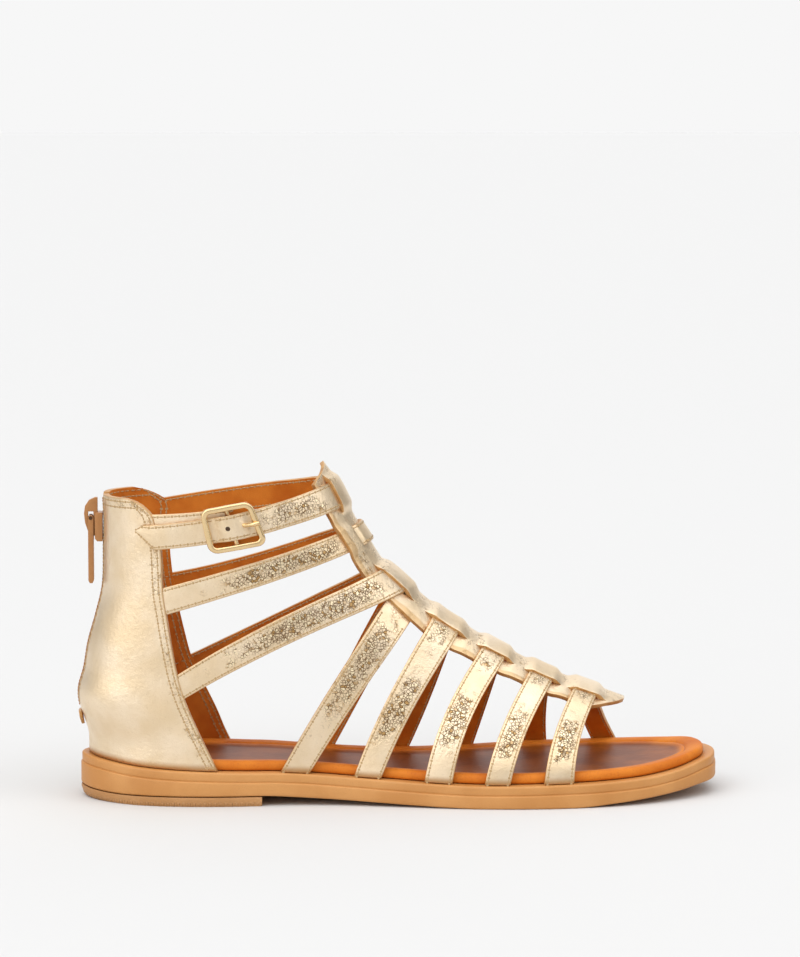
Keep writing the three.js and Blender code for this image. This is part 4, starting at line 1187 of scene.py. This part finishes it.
# Straps: nine bands of the same leather, cut straight and turned over tan lining. Five stand on the
# sole, three run back under the counter, and the ankle strap is in two halves that buckle.
SEAM_INSET = 1.0
LAP = 2.0
BUCKLE_AT = 0.236
BUCKLE_LENGTH = 19.2
BUCKLE_HEIGHT = 16.8
BUCKLE_BAND = 2.1
BUCKLE_DEPTH = 2.0
BAR_DIAMETER = 1.8
PRONG_DIAMETER = 1.5
TAIL_TIP = 0.2
TAIL_WIDTH = 0.06
TAIL_UPPER = 1.6
TAIL_LOWER = 5.4


def strap_base(rows, run, share):
    side = -1 if run < 0 else 1
    edges = []
    for row in rows:
        reach = reach_of(row, side)
        edges.append(edge_point(reach, side, abs(run) * (1 / reach.widest + 1) / 2))
    return edges[0].lerp(edges[1], share)


def strap_outward(rows, run, share):
    along = strap_base(rows, run + 2e-3, share) - strap_base(rows, run - 2e-3, share)
    across = strap_base(rows, run, 1) - strap_base(rows, run, 0)
    return across.cross(along).normalized()


def strap_point(rows, run, share, lift):
    return strap_base(rows, run, share) + strap_outward(rows, run, share) * lift


def on_bridge(y):
    return 1 - smooth(abs(y), slit - SLIT_EASE, slit + SLIT_EASE)


def on_edge(y):
    return (1 - on_bridge(y)) * (1 - smooth(abs(y), half_spine, half_spine + 4 * SLIT_EASE))


def run_at(rows, x):
    return solve(-1.0, 0.0, lambda run: strap_base(rows, run, 0.5).x < x, rounds=26)


buckle_run = run_at(STRAPS["top"], SOLE_LENGTH * BUCKLE_AT)
run_speed = (strap_base(STRAPS["top"], buckle_run + 0.01, 0.5)
             - strap_base(STRAPS["top"], buckle_run - 0.01, 0.5)).length / 0.02
top_width = (strap_base(STRAPS["top"], buckle_run, 0) - strap_base(STRAPS["top"], buckle_run, 1)).length
bar_height = LEATHER / 2 + BAR_DIAMETER / 2 + GAP
eye_reach = BAR_DIAMETER / 2 + GAP + PRONG_DIAMETER * 0.65
hump_rise = bar_height + eye_reach + GAP - LAP - LEATHER / 4
frame_foot = LAP + LEATHER + GAP


def over_edges(run, p):
    return WEAVE_RISE * STRAP_SHARE * on_edge(p.y)


def over_bridge(run, p):
    return WEAVE_RISE * (on_bridge(p.y) - (1 - STRAP_SHARE) * on_edge(p.y))


def tucked(run, p):
    return -LEATHER * 0.9 * (1 - smooth(abs(p.y), half_spine, SPINE_WIDTH * 0.8))


def flat_on_last(run, p):
    return 0.0


def buckled(run, p):
    if run > 0:
        return over_edges(run, p)
    along = (run - buckle_run) * run_speed
    near_bar = 1 - smooth(abs(along), BAR_DIAMETER, BUCKLE_LENGTH / 3)
    down = smooth(along, BUCKLE_LENGTH / 2, BUCKLE_LENGTH)
    return LAP * (1 - down) + hump_rise * near_bar + over_edges(run, p)


def tail_sides(run):
    """Shares of the width between which the tail's slanted point lies."""
    along = (1 + run) * run_speed
    upper = mix(TAIL_TIP - TAIL_WIDTH, 0, min(1, along / TAIL_UPPER))
    return upper, mix(TAIL_TIP + TAIL_WIDTH, 1, min(1, along / TAIL_LOWER))


def full_width(run):
    return 0, 1


Strap = namedtuple("Strap", "rows lift sides first last stations")
straps = {
    name: Strap(STRAPS[name], over_edges, full_width, -1, 1, 110)
    for name in ("fifth", "sixth", "seventh", "eighth")
}
straps["fourth"] = Strap(STRAPS["fourth"], tucked, full_width, -1, 1, 110)
straps["third"] = Strap(STRAPS["third"], over_edges, full_width, -1, 1, 150)
straps["second"] = Strap(STRAPS["second"], over_bridge, full_width, -1, 1, 140)
straps["ankle"] = Strap(STRAPS["top"], buckled, tail_sides, -1, 1, 180)
straps["ankle_base"] = Strap(
    STRAPS["base"], flat_on_last, full_width, -1, run_at(STRAPS["base"], SOLE_LENGTH * BUCKLE_AT), 50)


def strap_surface(strap, share, t):
    run = mix(strap.first, strap.last, t)
    middle = strap_base(strap.rows, run, 0.5)
    place = mix(*strap.sides(run), share)
    crown = 0.18 * (1 - (2 * share - 1) ** 2)
    return strap_point(strap.rows, run, place, strap.lift(run, middle) + LEATHER + crown)


# Where each strap's foil is broken, as shares of the way from the ridge to its end: from, full
# from, full to, to, and how strongly
Bend = namedtuple("Bend", "starts full fades ends strength")
BENDS = {
    "ankle": [Bend(0.22, 0.38, 0.5, 0.74, 0.75)],
    "ankle_base": [Bend(0.3, 0.4, 0.5, 0.6, 0.3)],
    "second": [Bend(0.16, 0.5, 0.66, 0.96, 0.9)],
    "third": [Bend(0.1, 0.45, 0.7, 1.0, 0.9)],
    "fourth": [Bend(0.1, 0.25, 0.3, 0.5, 0.45), Bend(0.3, 0.56, 0.7, 0.98, 0.9)],
}
ON_SOLE = [Bend(0.1, 0.25, 0.35, 0.55, 0.6), Bend(0.48, 0.72, 0.8, 0.97, 0.9)]


def bend_of(name, run):
    away = abs(run)
    return 0.12 + max(
        bend.strength * smooth(away, bend.starts, bend.full) * (1 - smooth(away, bend.fades, bend.ends))
        for bend in BENDS.get(name, ON_SOLE))


ACROSS = (0, 0.04, 0.12, 0.3, 0.5, 0.7, 0.88, 0.96, 1)
for name, strap in straps.items():
    stands = strap.rows[0].lateral_up is None
    piece = drape(f"{name}_strap", len(ACROSS) - 1, strap.stations,
                  lambda u, v: strap_surface(strap, ACROSS[round(u * (len(ACROSS) - 1))], v))
    wall_up(piece, LEATHER, 0.28, gold_foil, tan_lining, painted_edge)
    width = (strap_base(strap.rows, -0.7, 0) - strap_base(strap.rows, -0.7, 1)).length
    edge_mark = piece.data.attributes.new("edge", "FLOAT", "POINT")
    foot_mark = piece.data.attributes.new("foot", "FLOAT", "POINT")
    bend_mark = piece.data.attributes.new("bend", "FLOAT", "POINT")
    shares = piece.data.uv_layers[0].data
    for loop in piece.data.loops:
        u, v = shares[loop.index].uv
        across = ACROSS[min(int(u * (len(ACROSS) - 1) + 0.5), len(ACROSS) - 1)]
        inset = min(across, 1 - across) * width
        edge_mark.data[loop.vertex_index].value = inset
        corner = piece.data.vertices[loop.vertex_index].co
        foot_mark.data[loop.vertex_index].value = (
            corner.z / MM - ledge_top(corner.x / MM + ORIGIN.x) - GAP if stands else FAR)
        middle = 0.45 + 0.55 * smooth(inset, 0.8, 2.8)
        bend_mark.data[loop.vertex_index].value = middle * bend_of(name, mix(strap.first, strap.last, v))
    soften(piece, 40)
    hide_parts("upper")
    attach(piece, "shoe")
    rows = []
    shares_and_sides = [(share, inside) for share in (SEAM_INSET / width, 1 - SEAM_INSET / width)
                        for inside in (False, True)]
    for share, inside in shares_and_sides:
        line = []
        for step in range(strap.stations * 2 + 1):
            t = step / (strap.stations * 2)
            run = mix(strap.first, strap.last, t)
            from_ridge = abs(strap_base(strap.rows, run, 0.5).y)
            hidden = on_bridge(from_ridge) > 0.5 and name not in ("second", "fourth")
            if hidden or (name == "fourth" and from_ridge < half_spine + 3):
                if len(line) > 1:
                    rows.append(line)
                line = []
                continue
            outward = strap_outward(strap.rows, run, share)
            p = strap_surface(strap, share, t)
            line.append((p - outward * LEATHER, -outward) if inside else (p, outward))
        rows.append(line)
    sewing = sew(f"{name}_stitching", rows, gold_thread)

# Buckle: a cast frame with rounded corners on a bar, plated pale gold. Its prong turns on the bar
# and rests on the frame's front side, through the last hole of the strap.


def on_strap(x, y, z):
    """Point of the ankle strap: along and across from the buckle's middle, and out from the ankle."""
    return strap_point(STRAPS["top"], buckle_run + x / run_speed, 0.5 - y / top_width, z)


def rounded_frame(share, length, height, radius):
    """Point and outward direction of a rounded rectangle."""
    x = length / 2 - radius
    y = height / 2 - radius
    arc = radius * math.pi / 2
    sides = [(2 * y, 0), (arc, 1), (2 * x, 0), (arc, 1), (2 * y, 0), (arc, 1), (2 * x, 0), (arc, 1)]
    corners = [Vector((x, y)), Vector((-x, y)), Vector((-x, -y)), Vector((x, -y))]
    at = (share % 1) * sum(side[0] for side in sides)
    for i, (size, bent) in enumerate(sides):
        if at <= size or i == 7:
            break
        at -= size
    quarter = (i // 2) % 4
    base = quarter * math.pi / 2
    if bent:
        angle = base + at / radius
        outward = Vector((math.cos(angle), math.sin(angle)))
        return corners[quarter] + outward * radius, outward
    outward = Vector((math.cos(base), math.sin(base)))
    ahead = Vector((-outward.y, outward.x))
    return corners[quarter] + outward * radius - ahead * (size - at), outward


FLATNESS = 0.62


def flattened(value):
    return math.copysign(abs(value) ** FLATNESS, value)


bpy.ops.object.select_all(action="DESELECT")
RING = 0.25
bpy.ops.mesh.primitive_torus_add(major_segments=120, minor_segments=16, major_radius=1, minor_radius=RING)
buckle = bpy.context.object
buckle.name = "buckle_ring"
for corner in buckle.data.vertices:
    turn = math.atan2(corner.co.y, corner.co.x) / (2 * math.pi)
    wide = (math.hypot(corner.co.x, corner.co.y) - 1) / RING
    tall = corner.co.z / RING
    flat, outward = rounded_frame(
        turn, BUCKLE_LENGTH - BUCKLE_BAND, BUCKLE_HEIGHT - BUCKLE_BAND, BUCKLE_BAND * 1.1)
    flat = flat + outward * flattened(wide) * BUCKLE_BAND / 2
    height = frame_foot + BUCKLE_DEPTH / 2 * (1 + flattened(tall))
    corner.co = (on_strap(flat.x, flat.y, height) - ORIGIN) * MM


def rod(name, path, diameter, around=14, along=40):
    """Round bar along a smooth line through points given on the ankle strap."""

    def place(t):
        span = t * (len(path) - 1)
        i = min(int(span), len(path) - 2)
        local = span - i
        a = path[max(i - 1, 0)]
        b = path[i]
        c = path[i + 1]
        d = path[min(i + 2, len(path) - 1)]
        return [0.5 * (2 * q + (r - p) * local + (2 * p - 5 * q + 4 * r - s) * local**2
                       + (3 * q - p - 3 * r + s) * local**3) for p, q, r, s in zip(a, b, c, d)]

    def surface(u, v):
        v = min(max((v * (along + 2) - 1) / along, 0), 1) if 0 < v < 1 else v
        here = on_strap(*place(v))
        ahead = (on_strap(*place(min(v + 0.01, 1))) - on_strap(*place(max(v - 0.01, 0)))).normalized()
        aside = ahead.cross(Vector((0.3, 0.2, 1))).normalized()
        up = ahead.cross(aside)
        angle = 2 * math.pi * u
        return here + (aside * math.cos(angle) + up * math.sin(angle)) * diameter / 2

    piece = drape(name, around, along, surface)
    edit(piece, close_ends)
    soften(piece, 50)
    return piece


def close_ends():
    bpy.ops.mesh.remove_doubles(threshold=SAME_PLACE)
    bpy.ops.mesh.select_all(action="DESELECT")
    bpy.ops.mesh.select_non_manifold()
    bpy.ops.mesh.edge_face_add()
    bpy.ops.mesh.select_all(action="SELECT")
    bpy.ops.mesh.normals_make_consistent(inside=False)


side = BUCKLE_HEIGHT / 2 - BUCKLE_BAND / 2
post = side - BAR_DIAMETER / 8
bar = rod("buckle_bar", [
    (0, -post, frame_foot + BUCKLE_DEPTH / 2), (0, -post, bar_height + BAR_DIAMETER / 2),
    (0, -post + BAR_DIAMETER / 4, bar_height), (0, 0, bar_height), (0, post - BAR_DIAMETER / 4, bar_height),
    (0, post, bar_height + BAR_DIAMETER / 2), (0, post, frame_foot + BUCKLE_DEPTH / 2),
], BAR_DIAMETER)
rest = frame_foot + BUCKLE_DEPTH + GAP + PRONG_DIAMETER / 2
reach = BUCKLE_LENGTH / 2 - BUCKLE_BAND / 2
prong = rod("buckle_pin", [
    (eye_reach * 0.8, 0, bar_height + eye_reach * 0.3), (reach * 0.5, 0, (bar_height + rest) / 2),
    (reach * 0.85, 0, rest), (reach + PRONG_DIAMETER / 3, 0, rest),
], PRONG_DIAMETER)


HOLE_AT = -1.3
HOLE_RADIUS = 0.85
HOLE_RINGS = ((0, 0.22), (1, 0.18), (1, 0), (0, 0))


def hole_surface(u, v):
    """Punched hole beside the one in use: a closed disc, level with the foil, painted dark as the shade
    inside the hole.
    """
    reach, rise = HOLE_RINGS[round(v * (len(HOLE_RINGS) - 1))]
    angle = -2 * math.pi * u
    x = HOLE_AT + HOLE_RADIUS * reach * math.cos(angle)
    run = buckle_run + x / run_speed
    lift = buckled(run, strap_base(STRAPS["top"], run, 0.5))
    return on_strap(x, HOLE_RADIUS * reach * math.sin(angle), lift + LEATHER + rise)


strap_hole = drape("strap_hole", 16, len(HOLE_RINGS) - 1, hole_surface)
edit(strap_hole, close_seams)
wear_in(strap_hole, hole_shade)
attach(strap_hole, "shoe")


SHADE_BACKING_INSET = 0.8
SHADE_BACKING_GAP = 0.15


def shade_backing_surface(u, v):
    """Patch of lining leather behind the buckle, a little smaller than its frame, inside the strap. It fills
    the buckle's window, partly as the strap's tan edge and partly as painted shade there.
    """
    x = mix(-0.5, 0.5, u) * (BUCKLE_LENGTH - 2 * SHADE_BACKING_INSET)
    y = mix(-0.5, 0.5, v) * (BUCKLE_HEIGHT - 2 * SHADE_BACKING_INSET)
    return on_strap(x, y, -SHADE_BACKING_GAP)


def mark_evenly(piece, **values):
    for name, value in values.items():
        mark(piece, name, lambda p, value=value: value)


# Painted shade in part: this sheet fills the buckle's window, which shows only the strap's tan edge and
# shade.
shade_backing = drape("buckle_shade_backing", 16, 12, shade_backing_surface)
wall_up(shade_backing, 0.9, 0.2, tan_lining, tan_lining, painted_edge)
mark_evenly(shade_backing, edge=9.0, foot=FAR, bend=0.0)
soften(shade_backing, 40)
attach(shade_backing, "shoe")


def plate_rough(tree):
    return remap(tree, grained(2.0)(tree), 0.3, 0.7, 0.14, 0.26)


gold_plate = finish("gold_plate", mottled(5.0, colour(220, 188, 136), colour(244, 216, 168)),
                    plate_rough, 1.0, height=grained(1.5), relief=0.00003)
soften(buckle, 60)
for piece, node_name in ((buckle, "buckle_frame"), (bar, "buckle_frame"), (prong, "buckle_prong")):
    wear_in(piece, gold_plate)
    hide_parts(node_name)
    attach(piece, "shoe")

# Zip: a coil chain on a woven tape down the back, with a lacquered slider at its top. The pull
# hangs by a pin in the slider's window and swings out.
ZIP_TOP = COUNTER_HEIGHT * 0.99
TOOTH_STEP = 1.25


def tape_surface(u, v):
    z = mix(ZIP_FOOT, ZIP_TOP, u)
    spread = zip_angle(ZIP_WIDTH / 2, z)
    angle = mix(-spread, spread, v)
    return counter_point(angle, z) - counter_outward(angle, z) * 0.5


def weave(tree, direction):
    place = node(tree, "TexCoord").outputs["Object"]
    return node(tree, "TexWave", {"Vector": place, "Scale": 420.0}, bands_direction=direction).outputs["Fac"]


def tape_base(tree):
    return blend(tree, weave(tree, "Z"), colour(140, 84, 42), colour(186, 124, 70))


def tape_height(tree):
    return maths(tree, "MULTIPLY", weave(tree, "Z"), weave(tree, "Y"))


zip_tape = finish("zip_tape", tape_base, 0.75, height=tape_height, relief=0.0001)
tape = drape("zip_tape", 90, 8, tape_surface)
wall_up(tape, 1.0, 0.2, zip_tape)
soften(tape, 40)

bpy.ops.object.select_all(action="DESELECT")
bpy.ops.mesh.primitive_cube_add(size=1)
tooth = bpy.context.object
tooth.scale = (0.9, 2.1, 0.62)
bpy.ops.object.transform_apply(location=False, rotation=False, scale=True)
tooth_bevel = tooth.modifiers.new("round", "BEVEL")
tooth_bevel.width = 0.16
tooth_bevel.segments = 1
apply_all(tooth)
tooth_corners = [corner.co.copy() for corner in tooth.data.vertices]
tooth_faces = [tuple(face.vertices) for face in tooth.data.polygons]
bpy.data.objects.remove(tooth)
corners, faces = [], []
for count in range(int((ZIP_TOP - ZIP_FOOT) / TOOTH_STEP * 2)):
    z = ZIP_FOOT + (count + 0.5) * TOOTH_STEP / 2
    side = 1 if count % 2 else -1
    back = counter_point(0, z) + Vector((0.05, side * 0.75, 0))
    first = len(corners)
    corners += [(back + corner - ORIGIN) * MM for corner in tooth_corners]
    faces += [tuple(first + i for i in face) for face in tooth_faces]
teeth = from_faces("zip_teeth", corners, faces)
tan_lacquer = finish("tan_lacquer", mottled(4.0, colour(164, 110, 62), colour(184, 132, 82)), 0.32, 0.35,
                     height=grained(1.0), relief=0.00003)
wear_in(teeth, tan_lacquer)


def rounded_copy(name, source, width):
    """Copy of a solid with its arrises taken off, to stand for it."""
    piece = bpy.data.objects.new(name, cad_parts[source].data.copy())
    bpy.context.scene.collection.objects.link(piece)

    def tidy():
        bpy.ops.mesh.remove_doubles(threshold=SAME_PLACE)
        bpy.ops.mesh.dissolve_limited(angle_limit=math.radians(4))

    edit(piece, tidy)
    bevel = piece.modifiers.new("arris", "BEVEL")
    bevel.width = width * MM
    bevel.segments = 3
    bevel.limit_method = "ANGLE"
    bevel.angle_limit = math.radians(25)
    apply_all(piece)
    soften(piece, 40)
    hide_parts(source)
    return piece


TAB_HALF = 4.4


def tab_surface(u, v):
    """Leather tab over the foot of the zip: square above, pointed below, and standing off a little."""
    z = ZIP_FOOT + mix(-7.0, -1.8, u) + 3.4 * (1 - u) * abs(2 * v - 1)
    angle = zip_angle(mix(-TAB_HALF, TAB_HALF, v), z)
    return counter_point(angle, z) + counter_outward(angle, z) * (1.25 + 0.5 * (1 - u))


zip_tab = drape("zip_foot_tab", 10, 12, tab_surface)
wall_up(zip_tab, 1.1, 0.25, gold_foil, tan_lining, painted_edge)
mark_evenly(zip_tab, edge=2.0, foot=FAR, bend=0.3)
soften(zip_tab, 40)
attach(zip_tab, "shoe")

PIN_PLACE = Vector((-28.76, 0, 102.38))
PIN_RADIUS = 0.72
bpy.ops.object.select_all(action="DESELECT")
bpy.ops.mesh.primitive_cylinder_add(vertices=20, radius=PIN_RADIUS * MM, depth=6.1 * MM,
                                    location=(0, 0, 0), rotation=(math.pi / 2, 0, 0))
pull_pin = bpy.context.object
pull_pin.name = "zip_pull_pin"
bpy.ops.object.transform_apply(location=False, rotation=True, scale=False)
for corner in pull_pin.data.vertices:
    corner.co += PIN_PLACE * MM
soften(pull_pin, 40)
dark_pin = finish("dark_pin", mottled(0.2, colour(66, 44, 26), colour(96, 66, 40)), 0.4, 0.6)
wear_in(pull_pin, dark_pin)
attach(pull_pin, "pull")

slider = rounded_copy("zip_slider_body", "zip_slider", 0.28)
pull = rounded_copy("zip_pull_tab", "zip_pull", 0.3)
for piece in (slider, pull):
    wear_in(piece, tan_lacquer)
for piece in (tape, teeth):
    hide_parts("zip_chain")
for piece in (tape, teeth, slider):
    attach(piece, "shoe")
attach(pull, "pull")

# Floor, light and camera
FLOOR_REACH = 60.0
BACKDROP = [0.93, 0.93, 0.93, 1]
bpy.ops.object.select_all(action="DESELECT")
bpy.ops.mesh.primitive_plane_add(size=FLOOR_REACH * 2, location=(0, 0, 0))
floor = bpy.context.object
floor.name = "floor"
floor_paint = finish("floor_paint", [0.655, 0.655, 0.655, 1], 1.0)
wear_in(floor, floor_paint)

# The studio: a pale room with softboxes far off, each a patch of the sky round an aim
Softbox = namedtuple("Softbox", "aim outer inner power")
SOFTBOXES = [
    Softbox((0.0, -0.25, 1.0), 62, 26, 1.5),
    Softbox((-0.15, -1.0, 0.3), 50, 16, 0.26),
    Softbox((-1.0, 0.1, 0.05), 46, 14, 0.32),
    Softbox((-0.75, -0.6, 0.4), 34, 18, 1.4),
    Softbox((0.85, -0.35, 0.45), 26, 12, 1.2),
    Softbox((0.1, 0.9, 0.35), 40, 20, 0.8),
]
ROOM_LIGHT = 0.32
world = bpy.data.worlds.new("studio")
bpy.context.scene.world = world
world.use_nodes = True
sky = world.node_tree
sky.nodes.clear()
direction = node(sky, "TexCoord").outputs["Generated"]
power = ROOM_LIGHT
for softbox in SOFTBOXES:
    aim = tuple(Vector(softbox.aim).normalized())
    facing = node(sky, "VectorMath", {0: direction, 1: aim}, operation="DOT_PRODUCT").outputs["Value"]
    lit = remap(sky, facing, math.cos(math.radians(softbox.outer)), math.cos(math.radians(softbox.inner)),
                0.0, softbox.power)
    power = maths(sky, "ADD", lit, power)
light = node(sky, "Background", {"Color": [1, 1, 1, 1], "Strength": power})
seen = node(sky, "Background", {"Color": BACKDROP, "Strength": 1.0})
shown = node(sky, "MixShader", {0: node(sky, "LightPath").outputs["Is Camera Ray"]})
sky.links.new(light.outputs[0], shown.inputs[1])
sky.links.new(seen.outputs[0], shown.inputs[2])
world_out = node(sky, "OutputWorld")
sky.links.new(shown.outputs[0], world_out.inputs["Surface"])

KEY_PLACE = Vector((-0.55, -0.9, 1.3))
key = bpy.data.lights.new("key_softbox", "AREA")
key.size = 0.7
key.energy = 1.2
key_fitting = bpy.data.objects.new("key_softbox", key)
bpy.context.scene.collection.objects.link(key_fitting)
key_fitting.location = KEY_PLACE
key_fitting.rotation_euler = (Vector((0.08, 0, 0.05)) - KEY_PLACE).to_track_quat("-Z", "Y").to_euler()

CAMERA_PLACE = Vector((13.6, -1354.3, 248)) * MM
CAMERA_AIM = Vector((84.2, -6.1, 116.6)) * MM
camera_data = bpy.data.cameras.new("camera")
camera_data.lens = 139.6
camera_data.sensor_width = 36
camera = bpy.data.objects.new("camera", camera_data)
bpy.context.scene.collection.objects.link(camera)
camera.location = CAMERA_PLACE
camera.rotation_euler = (CAMERA_AIM - CAMERA_PLACE).to_track_quat("-Z", "Y").to_euler()
bpy.context.scene.camera = camera
bpy.context.scene.view_settings.view_transform = "Standard"
